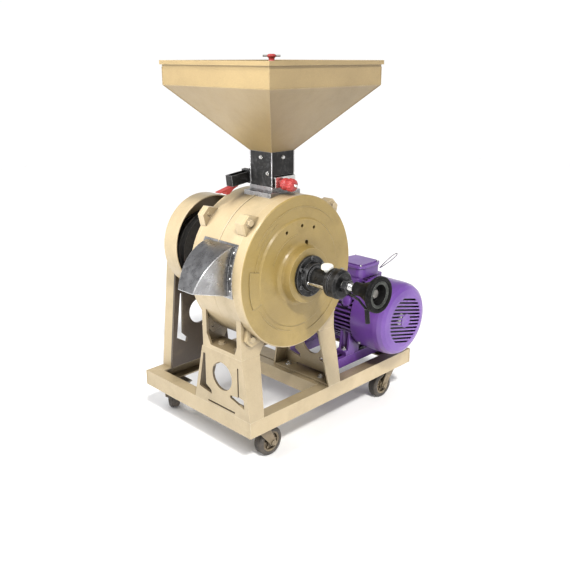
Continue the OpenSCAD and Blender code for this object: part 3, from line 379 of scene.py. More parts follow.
def galvanized(name):
    """Zinc sheet: faint crystal spangle, smeared reflections, dull handling marks and painted shade in
    hollows and low down.
    """
    surface = Surface(name, metallic=1.0)
    spangle = surface.cells(70, output="Color")
    shades = surface.ramp(spangle, [(0.2, (0.42, 0.42, 0.43)), (0.9, (0.52, 0.52, 0.53))])
    smears = surface.noise(9, 4, 0.65, distortion=1.2)
    body = surface.mixed(surface.ramp(smears, [(0.4, 0.0), (0.7, 0.7)]), shades, (0.24, 0.235, 0.23))
    # Painted shade: darker deep in hollows, and below the height of the chute's lip.
    body = surface.mixed(surface.maths("MULTIPLY", surface.hollows(0.05), 0.7), body, (0.08, 0.075, 0.07))
    lip_shade = surface.maths("MULTIPLY", surface.below(BASE.z + 0.467, 0.08), 0.4)
    body = surface.mixed(lip_shade, body, (0.13, 0.13, 0.13))
    rub = surface.edges(0.003)
    surface.colour(surface.mixed(rub, body, (0.92, 0.92, 0.92)))
    surface.rough(surface.ramp(surface.noise(46, 5, 0.7), [(0.3, 0.2), (0.72, 0.42)]))
    dents = surface.maths("ADD", surface.noise(13, 2), surface.maths("MULTIPLY", spangle, 0.03))
    surface.bump(dents, 0.0016, 0.7, 0.001)
    return surface.material


def black_paint(name, gloss=0.24, wear=0.5, bare=(0.42, 0.42, 0.43), shine=0.24, dusty=0.22):
    """Black enamel with scuffs down to grey metal."""
    surface = Surface(name)
    surface.shader.inputs["Specular IOR Level"].default_value = shine
    body = surface.ramp(surface.noise(18, 4), [(0.3, (0.003, 0.003, 0.003)), (0.7, (0.009, 0.009, 0.009))])
    dust = surface.ramp(surface.noise(75, 5, 0.75), [(0.5, 0.0), (0.75, 1.0)])
    body = surface.mixed(surface.maths("MULTIPLY", dust, dusty), body, (0.14, 0.13, 0.12))
    scuffs = surface.ramp(surface.noise(34, 6, 0.8, distortion=0.8), [(0.52, 0.0), (0.7, 1.0)])
    rub = surface.maths("ADD", surface.edges(0.003), surface.maths("MULTIPLY", scuffs, 0.25))
    surface.colour(surface.mixed(surface.maths("MULTIPLY", rub, wear, clamp=True), body, bare))
    surface.rough(surface.ramp(surface.noise(52, 5, 0.7), [(0.3, gloss), (0.7, gloss + 0.22)]))
    surface.bump(surface.noise(210, 3), 0.00035, 0.7, 0.0012)
    return surface.material


def plastic(name, tone, shade, roughness=0.3, edge=(0.9, 0.6, 0.55)):
    """Moulded plastic with a faint texture and pale rubbed edges."""
    surface = Surface(name, coat=0.15, coat_roughness=0.15)
    surface.shader.inputs["Subsurface Weight"].default_value = 0.05
    surface.shader.inputs["Subsurface Radius"].default_value = (0.004, 0.002, 0.001)
    body = surface.ramp(surface.noise(60, 4), [(0.3, shade), (0.7, tone)])
    rub = surface.maths("MULTIPLY", surface.edges(0.0015), 0.25)
    surface.colour(surface.mixed(rub, body, edge))
    surface.rough(surface.ramp(surface.noise(90, 4), [(0.3, roughness), (0.7, roughness + 0.18)]))
    surface.bump(surface.noise(500, 2), 0.00012, 0.6, 0.0006)
    return surface.material


def rubber(name, tone, dusty, amount):
    """Rubber with a dusty bloom and a fine pitted skin."""
    surface = Surface(name)
    dust = surface.ramp(surface.noise(32, 6, 0.75), [(0.38, 0.0), (0.72, amount)])
    surface.colour(surface.mixed(dust, tone, dusty))
    surface.rough(surface.ramp(surface.noise(80, 4), [(0.3, 0.55), (0.7, 0.85)]))
    surface.bump(surface.noise(340, 5, 0.7), 0.0006, 0.8, 0.001)
    return surface.material


def cast_iron(name):
    """Rough casting with patches of rust."""
    surface = Surface(name, metallic=0.55)
    tone = (0.022, 0.021, 0.02)
    body = surface.ramp(surface.noise(44, 5, 0.7), [(0.3, tone), (0.7, tuple(2.1 * c for c in tone))])
    rust = surface.ramp(surface.noise(20, 6, 0.8), [(0.58, 0.0), (0.75, 0.6)])
    body = surface.mixed(rust, body, (0.12, 0.05, 0.025))
    surface.colour(surface.mixed(surface.maths("MULTIPLY", surface.edges(0.002), 0.4), body,
                                 (0.3, 0.29, 0.28)))
    surface.rough(surface.ramp(surface.noise(70, 4), [(0.3, 0.5), (0.7, 0.8)]))
    surface.bump(surface.noise(260, 5, 0.7), 0.0009, 0.8, 0.001)
    return surface.material


def stone(name):
    """Bonded emery stone: pale grit with dark grains and open pores."""
    surface = Surface(name)
    grit = surface.cells(520, output="Color")
    body = surface.ramp(grit, [(0.15, (0.1, 0.095, 0.09)), (0.5, (0.33, 0.31, 0.28)),
                               (0.9, (0.55, 0.52, 0.47))])
    body = surface.mixed(0.3, body, surface.ramp(surface.noise(16, 4), [(0.3, 0.5), (0.7, 1.0)]),
                         "MULTIPLY")
    surface.colour(body)
    surface.rough(surface.ramp(surface.noise(120, 3), [(0.3, 0.8), (0.7, 0.98)]))
    surface.bump(surface.maths("ADD", surface.cells(300), surface.noise(160, 5)), 0.0016, 0.9)
    return surface.material


def make_materials():
    """One material for each of the record's slots, and a few for single nodes and pieces."""
    cream, cream_shade = (0.52, 0.415, 0.255), (0.43, 0.34, 0.2)
    # The near-black last tone is painted shade for the stands' shaded faces.
    worn, darker_worn, dirt_and_shade_tone = (0.82, 0.74, 0.58), (0.6, 0.5, 0.34), (0.06, 0.043, 0.03)

    # Painted shade: the rear stand's front face, in shade under the machine, takes the near-black tone.
    def stand_front_face(surface):
        return surface.in_front_of(BASE.y + 467 * MM)

    # Painted shade: inner faces of the left stand that face front and up take the near-black tone.
    def left_stand_inside(surface):
        room = surface.within(base_point(0.8, 47, 50), base_point(90, 240, 224))
        return surface.maths("MULTIPLY", surface.facing(FRONT + Z), room)

    return {
        "beige_paint": enamel("beige_enamel", cream, cream_shade, worn, coat=0.3,
                              darker_below=(0.15, 0.4, 0.2)),
        "rear_stand_paint": enamel("rear_stand_enamel", cream, cream_shade, darker_worn, coat=0.3,
                                   zone=stand_front_face, zone_tone=dirt_and_shade_tone),
        "left_stand_paint": enamel("left_stand_enamel", cream, cream_shade, darker_worn, coat=0.3,
                                   darker_below=(0.15, 0.4, 0.35), zone=left_stand_inside,
                                   zone_tone=dirt_and_shade_tone),
        "caster_paint": enamel("caster_enamel", (0.26, 0.2, 0.12), (0.17, 0.13, 0.08), darker_worn,
                               dirt=0.6, roughness=(0.5, 0.7), coat=0.05),
        # Painted shade: the cover's face takes a darker, more olive copy of the cream paint; past the
        # face's radius its rim keeps a cream close to the drum's.
        "cover_paint": enamel("cover_enamel", (0.36, 0.255, 0.078), (0.27, 0.19, 0.058),
                              (0.66, 0.55, 0.3), grain=0.0012, grain_scale=90, dirt=0.35,
                              zone=lambda surface: surface.beyond(0.2168),
                              zone_tone=(0.49, 0.385, 0.225)),
        # Below its collar the hopper paint is darkened: painted shade on the pyramid's sloping faces.
        "hopper_paint": enamel("hopper_enamel", (0.385, 0.28, 0.13), (0.315, 0.227, 0.104),
                               (0.68, 0.56, 0.34), grain=0.0003, roughness=(0.28, 0.42),
                               dirt=0.18, darker_below=(COLLAR_Z - 0.004, 0.004, 0.34)),
        "purple_paint": enamel("purple_enamel", (0.18, 0.068, 0.375), (0.12, 0.041, 0.27),
                               (0.55, 0.36, 0.78), roughness=(0.3, 0.42), coat=0.6, wear=0.35,
                               dirt=0.15),
        "black_paint": black_paint("black_enamel"),
        "wheel_black": black_paint("wheel_black", gloss=0.35, wear=0.12, shine=0.08, dusty=0.08),
        "neck_paint": black_paint("neck_enamel", gloss=0.4, wear=0.8, bare=(0.34, 0.34, 0.35),
                                  shine=0.35),
        "galvanized_sheet": galvanized("galvanized_sheet"),
        "bright_steel": metal("bright_steel", (0.74, 0.74, 0.73), (0.55, 0.54, 0.52), (0.16, 0.34)),
        "dull_steel": metal("dull_steel", (0.36, 0.35, 0.33), (0.2, 0.19, 0.17), (0.35, 0.6)),
        "worn_ring": metal("worn_ring", (0.1, 0.105, 0.095), (0.05, 0.055, 0.05), (0.35, 0.5)),
        "bright_hem": metal("bright_hem", (0.86, 0.87, 0.9), (0.7, 0.71, 0.74), (0.12, 0.3)),
        "ground_seam": metal("ground_seam", (0.62, 0.61, 0.62), (0.3, 0.3, 0.31), (0.25, 0.45)),
        "cast_iron": cast_iron("cast_iron"),
        "belt_rubber": rubber("belt_rubber", (0.012, 0.012, 0.012), (0.07, 0.065, 0.06), 0.35),
        "wheel_rubber": rubber("wheel_rubber", (0.03, 0.027, 0.024), (0.13, 0.105, 0.08), 0.5),
        "red_plastic": plastic("red_plastic", (0.42, 0.045, 0.042), (0.31, 0.026, 0.026)),
        "white_plastic": plastic("white_plastic", (0.86, 0.85, 0.8), (0.76, 0.74, 0.68),
                                 edge=(0.95, 0.94, 0.9)),
        "fan_plastic": plastic("fan_plastic", (0.03, 0.03, 0.035), (0.015, 0.015, 0.018), 0.5,
                               edge=(0.2, 0.2, 0.2)),
        "mill_stone": stone("mill_stone"),
    }


def dress_cad_nodes():
    """Gives every CAD node the material of its slot; the casters get a darker paint, and the two stands
    one with painted shade on their shaded faces.
    """
    for part in frame["record"]["subparts"]:
        mesh = frame["nodes"][part["node"]].data
        mesh.materials.clear()
        mesh.materials.append(MATERIALS[part["material_slot"]])
        if part["node"].startswith("caster_") and part["material_slot"] == "beige_paint":
            mesh.materials[0] = MATERIALS["caster_paint"]
    for node in ("rear_stand", "left_stand"):
        frame["nodes"][node].data.materials[0] = MATERIALS[f"{node}_paint"]


# ---------- mesh building ----------


def piece(name, points, faces, slot, body, sharp=35, material=None):
    """A finished mesh object that rides on a body and takes its finish from a slot."""
    mesh = bpy.data.meshes.new(name)
    mesh.from_pydata([tuple(p) for p in points], [], faces)
    mesh.validate()
    mesh.update()
    mesh.shade_smooth()
    mesh.set_sharp_from_angle(angle=math.radians(sharp))
    mesh.materials.append(material or MATERIALS[slot])
    made = bpy.data.objects.new(name, mesh)
    bpy.context.scene.collection.objects.link(made)
    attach(made, body)
    return made


class Build:
    """Points and faces of a piece made of several closed shells."""

    def __init__(self):
        self.points, self.faces = [], []

    def add(self, points, faces):
        start = len(self.points)
        self.points += points
        self.faces += [tuple(start + i for i in face) for face in faces]

    def finish(self, name, slot, body, sharp=35, material=None):
        return piece(name, self.points, self.faces, slot, body, sharp, material)

    def turn(self, profile, origin, axis=FRONT, segments=64, ripple=None):
        """A closed solid turned about an axis. The profile runs from axis to axis, or is a closed
        loop off the axis. ripple(angle, height) scales the radius."""
        axis = axis.normalized()
        side = axis.orthogonal().normalized()
        up = axis.cross(side)
        ring_of, points, faces = [], [], []
        for radius, height in profile:
            centre = origin + axis * height * MM
            if radius == 0:
                ring_of.append([len(points)] * segments)
                points.append(centre)
                continue
            ring_of.append(list(range(len(points), len(points) + segments)))
            for k in range(segments):
                a = TAU * k / segments
                r = radius * MM * (ripple(a, height) if ripple else 1)
                points.append(centre + (side * math.cos(a) + up * math.sin(a)) * r)
        rows = list(zip(ring_of, ring_of[1:]))
        if profile[0][0] and profile[-1][0]:
            rows.append((ring_of[-1], ring_of[0]))
        for low, high in rows:
            for k in range(segments):
                n = (k + 1) % segments
                face = list(dict.fromkeys((low[k], low[n], high[n], high[k])))
                if len(face) > 2:
                    faces.append(tuple(face))
        self.add(points, faces)

    def sweep(self, path, section, up=Z, closed=False, scale=None):
        """A closed tube along a path. section is a list of (across, up) offsets in millimetres."""
        count, rings, points, faces = len(path), [], [], []
        for i, point in enumerate(path):
            before = path[i - 1] if i or closed else path[i]
            after = path[(i + 1) % count] if i < count - 1 or closed else path[i]
            along = (after - before).normalized()
            across = along.cross(up)
            if across.length < 1e-6:
                across = along.orthogonal()
            across.normalize()
            over = across.cross(along)
            size = scale(i) if scale else 1
            rings.append(list(range(len(points), len(points) + len(section))))
            points += [point + (across * a + over * b) * size * MM for a, b in section]
        pairs = list(zip(rings, rings[1:]))
        if closed:
            pairs.append((rings[-1], rings[0]))
        n = len(section)
        for low, high in pairs:
            faces += [(low[k], low[(k + 1) % n], high[(k + 1) % n], high[k]) for k in range(n)]
        if not closed:
            faces += [tuple(reversed(rings[0])), tuple(rings[-1])]
        self.add(points, faces)

    def bead(self, start, end, radius, up=Z):
        """A weld bead with a ripple every 3 mm."""
        steps = max(6, int((end - start).length / MM / 3.0 * 4))
        path = [start.lerp(end, i / steps) for i in range(steps + 1)]

        def ripple(i):
            return 0.82 + 0.18 * abs(math.sin(i * math.pi / 4))

        self.sweep(path, round_section(radius, 8), up, scale=ripple)

    def bolt(self, origin, axis, flat, height, washer=0.0, tip=0.0, tip_r=0.0):
        """A chamfered hexagon head standing on a washer, with an optional threaded tip above."""
        axis = axis.normalized()
        side = axis.orthogonal().normalized()
        up = axis.cross(side)
        lift = 0.0
        if washer:
            lift = 1.6
            self.turn([(0, 0), (washer, 0), (washer, 1.2), (washer - 0.4, lift), (0, lift)],
                      origin, axis, 40)
        segments, rows, points, faces = 48, [], [], []

        def hexagon(a):
            return flat / math.cos((a + TAU / 12) % (TAU / 6) - TAU / 12)

        for level in range(4):
            rows.append(list(range(len(points), len(points) + segments)))
            for k in range(segments):
                a = TAU * k / segments
                corner = hexagon(a)
                r, h = corner, lift
                if level == 1:
                    h = lift + height - 0.3 - (corner - flat) * 0.55
                if level == 2:
                    r, h = flat * 0.96, lift + height
                if level == 3:
                    r, h = flat * 0.6, lift + height - 0.15
                spot = (side * math.cos(a) + up * math.sin(a)) * r + axis * h
                points.append(origin + spot * MM)
        for low, high in zip(rows, rows[1:]):
            for k in range(segments):
                n = (k + 1) % segments
                faces.append((low[k], low[n], high[n], high[k]))
        faces += [tuple(reversed(rows[0])), tuple(rows[-1])]
        self.add(points, faces)
        if tip:
            rings = int(tip / 0.9)
            profile = [(0, 0)]
            profile += [(tip_r - (0.45 if i % 2 else 0), i * 0.9) for i in range(rings)]
            profile += [(tip_r - 1, rings * 0.9), (0, rings * 0.9)]
            self.turn(profile, origin + axis * (lift + height - 0.5) * MM, axis, 24)


def round_section(radius, sides):
    return [(radius * math.cos(TAU * k / sides), radius * math.sin(TAU * k / sides))
            for k in range(sides)]


# ---------- bolts ----------


EARS = (45, 135, 225, 315)
EAR_BOLT_R = 231.5

# Half width across the flats, height and washer radius of each kind of head, in millimetres
EAR_HEAD = {"flat": 8.2, "height": 5.4, "washer": 11.8}
FOOT_HEAD = {"flat": 8.6, "height": 6, "washer": 12.4}
CAP_HEAD = {"flat": 4.3, "height": 3.2, "washer": 6.2}
NECK_HEAD = {"flat": 3.9, "height": 2.7, "washer": 5.6}
FRAME_HEAD = {"flat": 7.7, "height": 5.4, "washer": 11.2, "tip_r": 4}
SLIDE_HEAD = {"flat": 6.9, "height": 4.8, "washer": 9.9}
PLATE_HEAD = {"flat": 5, "height": 4, "washer": 7}


def make_mill_bolts():
    """Bolts of the drum's ears and feet, of the bearing cap and of the neck, and the tie bars."""
    ears = Build()
    for angle in EARS:
        front, nut, back = (mill_point(EAR_BOLT_R, angle, forward) for forward in (-22, -56, -212))
        ears.bolt(front, FRONT, **EAR_HEAD)
        ears.bolt(nut, Y, **EAR_HEAD)
        ears.bolt(back, Y, **EAR_HEAD)
        ears.turn([(0, -1), (5.9, -1), (5.9, 24), (5.2, 24.8), (0, 24.8)], back, FRONT, 24)
    for x in (30, 356):
        for y in (80, 150):
            ears.bolt(base_point(x, y, 242), Z, **FOOT_HEAD)
    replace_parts(ears.finish("casing_bolts", "beige_paint", "machine"), "mill_bolts")

    cap = Build()
    for angle in range(30, 360, 60):
        cap.bolt(mill_point(50, angle, 50), FRONT, **CAP_HEAD)
    cap.finish("cap_bolts", "black_paint", "machine")

    bars = Build()
    for angle in (20, 200):
        bars.turn([(0, 0), (5.4, 0), (5.4, 3), (4.4, 4), (4.4, 57), (5.4, 58), (5.4, 61), (0, 61)],
                  mill_point(32.5, angle, 64), FRONT, 32)
    bars.finish("tie_bars", "bright_steel", "machine")

    neck = Build()
    top = (NECK_TOP - BASE.z) / MM
    for side in (-1, 1):
        reach = side * NECK_HALF
        neck.bolt(base_point(NECK_X + reach, NECK_Y, top - 16), X * side, **NECK_HEAD)
        neck.bolt(base_point(NECK_X + reach, NECK_Y - 26, top - 58), X * side, **NECK_HEAD)
        neck.bolt(base_point(NECK_X, NECK_Y + reach, top - 16), Y * side, **NECK_HEAD)
    neck.finish("neck_bolts", "bright_steel", "machine")


def make_frame_bolts():
    """Bolts of the stands, the motor's rails and feet, and the caster plates."""
    bolts = Build()
    stand_spots = [(27, 60), (359, 60), (27, 205), (359, 205), (95, 488), (291, 488)]
    for x, y in stand_spots:
        bolts.bolt(base_point(x, y, RAIL_TOP + 6), Z, tip=4, **FRAME_HEAD)
    for y in (88, 266):
        for x in (404, 750):
            bolts.bolt(base_point(x, y, RAIL_TOP + 33), Z, **SLIDE_HEAD)
        for x in (507, 723):
            bolts.bolt(base_point(x, y, RAIL_TOP + 47), Z, tip=5, **FRAME_HEAD)
    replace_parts(bolts.finish("base_bolts", "bright_steel", "machine"), "frame_bolts")

    plates = Build()
    for x in (75, 687):
        for y in (45, 463):
            for dx in (-39, 39):
                for dy in (-29, 29):
                    plates.bolt(base_point(x + dx, y + dy, -4), -Z, **PLATE_HEAD)
    plates.finish("caster_plate_bolts", "dull_steel", "machine")


# ---------- casters ----------


def make_wheel(index, trail):
    """A moulded tyre with a ribbed tread on a webbed hub."""
    node, body, caster_finish = f"caster_wheel_{index}", f"wheel_{index}", MATERIALS["caster_paint"]
    centre = middle(node)
    low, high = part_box(node)
    r, half = (high.z - low.z) / 2 / MM, 17.0
    forward = Vector((math.cos(trail), math.sin(trail), 0))
    axle = Vector((-math.sin(trail), math.cos(trail), 0))
    rim = r - 13
    tyre = Build()
    tread = [(r - 6, -half), (r - 3.6, -half + 2), (r - 1.4, -half + 4.2), (r - 0.2, -half + 6.2)]
    for h in (-8, 0, 8):
        tread += [(r, h - 2.6), (r - 1.3, h - 1.2), (r - 1.3, h + 1.2), (r, h + 2.6)]
    tread += [(r - 0.2, half - 6.2), (r - 1.4, half - 4.2), (r - 3.6, half - 2), (r - 6, half)]
    tread += [(rim + 3, half - 0.5), (rim, half - 1.5), (rim, -half + 1.5), (rim + 3, -half + 0.5)]
    tyre.turn(tread, centre, axle, 96)
    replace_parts(tyre.finish(f"tyre_{index}", "wheel_rubber", body, 45), node)
    hub = Build()
    bore = 6.2
    hub.turn([
        (bore, -half), (12, -half), (13.5, -half + 1.5), (14, -7), (rim - 7, -5),
        (rim - 5, -half + 4), (rim, -half + 3), (rim, half - 3), (rim - 5, half - 4),
        (rim - 7, 5), (14, 7), (13.5, half - 1.5), (12, half), (bore, half)], centre, axle, 72)
    hub.finish(f"wheel_hub_{index}", "beige_paint", body, material=caster_finish)
    web = Build()
    for k in range(6):
        a = TAU * k / 6
        spoke = forward * math.cos(a) + Z * math.sin(a)
        for side in (-1, 1):
            middle_plane = centre + axle * side * 7 * MM
            web.sweep([middle_plane + spoke * 13 * MM, middle_plane + spoke * (rim - 4) * MM],
                      [(-2, -3), (2, -3), (1.4, 3), (-1.4, 3)], axle)
    web.finish(f"wheel_ribs_{index}", "beige_paint", body, material=caster_finish)


# ---------- adjuster ----------


def make_hand_wheel():
    """Dished black wheel with a ribbed grip and a worn grey ring inside its dish."""
    wheel = Build()

    def ribs(angle, height):
        return 1 + (0.012 * math.cos(36 * angle) if 274 < height < 288 else 0)

    centre = mill_point(0, 0, 0)
    wheel.turn([
        (8, 206), (16.5, 206), (18, 207.5), (18, 228), (21.6, 237), (26, 246.5), (31, 256), (38, 265),
        (45, 272), (48, 276.4), (47.4, 279), (47.4, 284), (48, 286.6), (46.5, 289.2), (44, 290),
        (40, 289.6), (37.6, 287.6), (36, 286), (27.6, 284.2), (26, 282.4), (23, 266),
        (8, 263)], centre, FRONT, 144, ribs)
    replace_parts(wheel.finish("hand_wheel_dish", "black_paint", "adjuster",
                             material=MATERIALS["wheel_black"]), "hand_wheel")
    ring = Build()
    ring.turn([(27.6, 284), (35.6, 285.8), (35.6, 286.5), (34, 287), (29, 285.9), (27.6, 284.8)],
              centre, FRONT, 96)
    ring.finish("hand_wheel_ring", "black_paint", "adjuster", material=MATERIALS["worn_ring"])
    nut = Build()
    nut.bolt(mill_point(0, 0, 264), FRONT, 11, 7, washer=15)
    nut.finish("hand_wheel_nut", "dull_steel", "adjuster")


def make_screw():
    """The adjusting screw with a true helical thread."""
    start, end, pitch, outer, depth = 60.9, 205.5, 3.0, 11.0, 1.5
    per_turn, segments = 8, 40
    count = int((end - start) / pitch * per_turn)
    centre = mill_point(0, 0, 0)
    points, faces = [], []
    for i in range(count + 1):
        height = start + i * pitch / per_turn
        for k in range(segments):
            phase = (height / pitch - k / segments) % 1
            ridge = 1 - abs(2 * phase - 1)
            r = outer - depth + depth * min(1, 1.25 * ridge)
            a = TAU * k / segments
            points.append(centre + Vector((r * math.cos(a), -height, r * math.sin(a))) * MM)
    for i in range(count):
        for k in range(segments):
            n = (k + 1) % segments
            row, above = i * segments, (i + 1) * segments
            faces.append((row + k, row + n, above + n, above + k))
    faces += [tuple(range(segments)), tuple(reversed(range(count * segments, (count + 1) * segments)))]
    screw = Build()
    screw.add(points, faces)
    screw.turn([(0, 54), (6, 54), (6, start + 0.2), (0, start + 0.2)], centre, FRONT, 40)
    screw.turn([(0, 205), (8, 205), (8, 264), (0, 264)], centre, FRONT, 40)
    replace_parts(screw.finish("threaded_screw", "bright_steel", "adjuster", 60), "adjusting_screw")


def make_collar_details():
    """Clamp screws of the split collar and beads round the barrel."""
    screws = Build()
    for angle in (75, 255):
        direction = Vector((math.cos(math.radians(angle)), 0, math.sin(math.radians(angle))))
        screws.bolt(mill_point(39.3, angle, 150), direction, 4.6, 3.5)
    screws.finish("collar_screws", "dull_steel", "machine")
    beads = Build()
    centre = mill_point(0, 0, 0)
    beads.turn([(26.8, 64.2), (30, 64.4), (28.4, 66.4), (26.8, 67)], centre, FRONT, 72)
    beads.turn([(26.8, 117), (28.6, 118), (28.6, 121), (26.8, 122)], centre, FRONT, 72)
    beads.finish("barrel_beads", "black_paint", "machine")


# ---------- feed ----------


def make_knob():
    """Fluted red grip with a bright screw end."""
    origin = middle("gate_knob")
    low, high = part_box("gate_knob")
    origin.y = high.y

    def flutes(angle, height):
        fluted = 5 < height < 17 or 24 < height < 44
        return 1 + (0.045 * math.cos(12 * angle) if fluted else 0)

    grip = Build()
    grip.turn([
        (0, 0), (12, 0), (12, 4), (15, 5.2), (16.2, 7), (16.2, 15), (15, 17), (13.6, 18.5),
        (13.6, 21.5), (15.6, 23), (17.1, 25), (17.1, 38), (16, 42), (14, 45), (6, 47), (0, 47)],
        origin, FRONT, 120, flutes)
    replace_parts(grip.finish("gate_grip", "red_plastic", "gate", 50), "gate_knob")
    end = Build()
    end.turn([(0, 46), (5, 46), (5, 52.5), (4, 54.5), (0, 55)], origin, FRONT, 32)
    end.finish("gate_screw_end", "bright_steel", "gate")


def make_wing():
    """Red knob on the lifting rod, and the thin steel bar through it."""
    origin = middle("feed_wing")
    origin.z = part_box("feed_wing")[0].z
    knob = Build()
    knob.turn([
        (0, 0), (9.4, 0), (10, 0.8), (10, 3), (8.4, 5.6), (8, 8), (8, 11.4), (9.4, 13.6), (11.6, 15.4),
        (12, 16.6), (12, 19.4), (11, 21), (8.4, 22.6), (6, 23), (0, 23)], origin, Z, 64)
    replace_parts(knob.finish("lift_knob", "red_plastic", "feed_lifter", 40), "feed_wing")
    bar = Build()
    along = Vector((1, -1, 0)).normalized()
    bar.turn([(0, -24), (1.8, -24), (2.5, -23.2), (2.5, 23.2), (1.8, 24), (0, 24)],
             origin + Z * 18 * MM, along, 28)
    bar.finish("lift_bar", "dull_steel", "feed_lifter")


def make_feed_details():
    """Ground seams down the neck's corners."""
    beads = Build()
    for sx in (-1, 1):
        for sy in (-1, 1):
            foot = base_point(NECK_X + sx * NECK_HALF, NECK_Y + sy * NECK_HALF, 693)
            top = Vector((foot.x, foot.y, NECK_TOP - 1 * MM))
            beads.bead(foot, top, 1.7, up=X)
    beads.finish("neck_seams", "neck_paint", "machine", 60, MATERIALS["ground_seam"])


def make_hopper_details():
    """Seams up the hopper's corners and the fold line under its collar."""
    half_top = (HOPPER_HIGH.x - HOPPER_LOW.x) / 2
    centre = (HOPPER_LOW + HOPPER_HIGH) / 2
    half_foot = NECK_HALF * MM
    seams = Build()
    for sx in (-1, 1):
        for sy in (-1, 1):
            foot = Vector((centre.x + sx * half_foot, centre.y + sy * half_foot, NECK_TOP))
            bend = Vector((centre.x + sx * half_top, centre.y + sy * half_top, COLLAR_Z))
            rim = Vector((bend.x, bend.y, HOPPER_HIGH.z - 14 * MM))
            seams.bead(foot, bend, 1.3, up=X)
            seams.bead(bend, rim, 1.3, up=X)
    seams.finish("hopper_seams", "hopper_paint", "machine", 60)
    fold = Build()
    corners = [centre + Vector((sx * half_top, sy * half_top, 0)) for sx, sy in
               ((-1, -1), (1, -1), (1, 1), (-1, 1))]
    corners = [Vector((c.x, c.y, COLLAR_Z)) for c in corners]
    for a, b in zip(corners, corners[1:] + corners[:1]):
        fold.sweep([a, b], round_section(1.0, 8), Z)
    fold.finish("hopper_fold", "hopper_paint", "machine", 60)


def make_chute_details():
    """Turned hem along the chute's mouth and up its sides, and the rivets of its saddle."""
    hood, radius = base_point(36, 0, 351), 209.4 * MM
    lip_angle, top_angle = math.radians(180 - 30.4), math.radians(96)
    front, lip_z = BASE.y + 50.6 * MM, hood.z + radius * math.sin(lip_angle)

    def back(z):
        return BASE.y + (109.4 + 0.5354 * (z - lip_z) / MM) * MM

    def lip_at(y, inset):
        return Vector((hood.x + (radius - inset) * math.cos(lip_angle), y, lip_z))

    hem = Build()
    hem.sweep([lip_at(front, 2.2 * MM), lip_at(back(lip_z), 2.2 * MM)], round_section(1.6, 10), Z)
    arcs = ([], [])
    for k in range(33):
        a = lip_angle - (lip_angle - top_angle) * k / 32
        x, z = hood.x + (radius - 1.3 * MM) * math.cos(a), hood.z + (radius - 1.3 * MM) * math.sin(a)
        if (Vector((x, z)) - Vector((MILL.x, MILL.z))).length > 221 * MM:
            arcs[0].append(Vector((x, front, z)))
            arcs[1].append(Vector((x, back(z), z)))
    for arc in arcs:
        hem.sweep(arc, round_section(1.3, 8), Y)
    heel = base_point(-27, 0, 424)
    for y in (front, back(heel.z)):
        hem.sweep([lip_at(y, 1.6 * MM), Vector((heel.x, y, heel.z))], round_section(1.3, 8), Y)
    hem.finish("chute_hem", "galvanized_sheet", "machine", 60, MATERIALS["bright_hem"])
    rivets = Build()
    for k in range(4):
        angle = 157 + k * 9
        direction = Vector((math.cos(math.radians(angle)), 0, math.sin(math.radians(angle))))
        rivets.turn([(0, 0), (4, 0), (3.6, 1.4), (2.2, 2.3), (0, 2.6)],
                    mill_point(220.8, angle, -42.5), direction, 24)
    rivets.finish("chute_rivets", "bright_steel", "machine")


# ---------- casing ----------


def make_casing_details():
    """Parting ridge of the drum casting and the raised arcs of its cover."""
    ridge = Build()
    centre = mill_point(0, 0, 0)
    ridge.turn([(218.2, -118), (220, -117), (220.3, -115.6), (220, -114.2), (218.2, -113)],
               centre, FRONT, 192)
    ridge.finish("casing_ridge", "beige_paint", "machine", 60)
    arcs = Build()
    for radius, a0, a1, size in ((186, 40, 150, 1.2), (171, 118, 196, 1.3), (171, 205, 262, 1.1),
                                 (186, 280, 345, 1.2), (112, 95, 160, 1.0)):
        lift = 0.2 if radius > 158 else 5.2
        path = [mill_point(radius, a0 + (a1 - a0) * k / 48, lift) for k in range(49)]
        arcs.sweep(path, [(-size * 1.6, -size), (size * 1.6, -size), (size, size), (-size, size)],
                   FRONT, scale=lambda i: max(0.15, math.sin(math.pi * i / 48) ** 0.4))
    arcs.finish("cover_arcs", "cover_paint", "machine", 60)


def make_base_details():
    """Weld beads at the mitred corners of the base and at the feet of the cross rail."""
    welds = Build()
    for x0, x1 in ((1.6, 38), (760.4, 724)):
        for y0, y1 in ((1.6, 38), (506.4, 470)):
            welds.bead(base_point(x0, y0, 50), base_point(x1, y1, 50), 1.5)
    for x, y in ((0, 1.6), (760.4, 0), (0, 506.4)):
        welds.bead(base_point(x, y, 49), base_point(x, y, 1), 1.5, up=X)
    for x in (314, 414):
        for y in (40, 468):
            welds.bead(base_point(x, y, 48), base_point(x, y, 6), 2.0, up=X)
    for y in (40, 468):
        welds.bead(base_point(314, y, 50), base_point(414, y, 50), 1.8)
    welds.finish("base_welds", "beige_paint", "machine", 60)


# ---------- drive ----------


def make_belts():
    """Two wrapped V belts round both pulleys."""
    big, small = middle("mill_pulley"), middle("motor_pulley")
    span = Vector((small.x - big.x, 0, small.z - big.z))
    length = span.length
    along = span.normalized()
    over = Vector((-along.z, 0, along.x))
    pitch_in = 8.7
    r1, r2 = (118 - pitch_in) * MM, (56 - pitch_in) * MM
    lean = math.acos((r1 - r2) / length)
    belts = Build()
    for offset in (-11, 11):
        path = []
        y = big.y + offset * MM

        def spot(centre, radius, angle):
            return centre + (along * math.cos(angle) + over * math.sin(angle)) * radius

        hub1, hub2 = Vector((big.x, y, big.z)), Vector((small.x, y, small.z))
        path += [spot(hub1, r1, lean + (TAU - 2 * lean) * k / 60) for k in range(61)]
        a, b = path[-1], spot(hub2, r2, -lean)
        path += [a.lerp(b, k / 30) for k in range(1, 30)]
        path += [spot(hub2, r2, -lean + 2 * lean * k / 36) for k in range(37)]
        a, b = path[-1], path[0]
        path += [a.lerp(b, k / 30) for k in range(1, 30)]
        belts.sweep(path, [(-5.6, 4.2), (5.6, 4.2), (6, 3.4), (4.1, -4.2), (-4.1, -4.2), (-6, 3.4)],
                    Y, closed=True)
    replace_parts(belts.finish("v_belts", "belt_rubber", "machine", 50), "drive_belts")


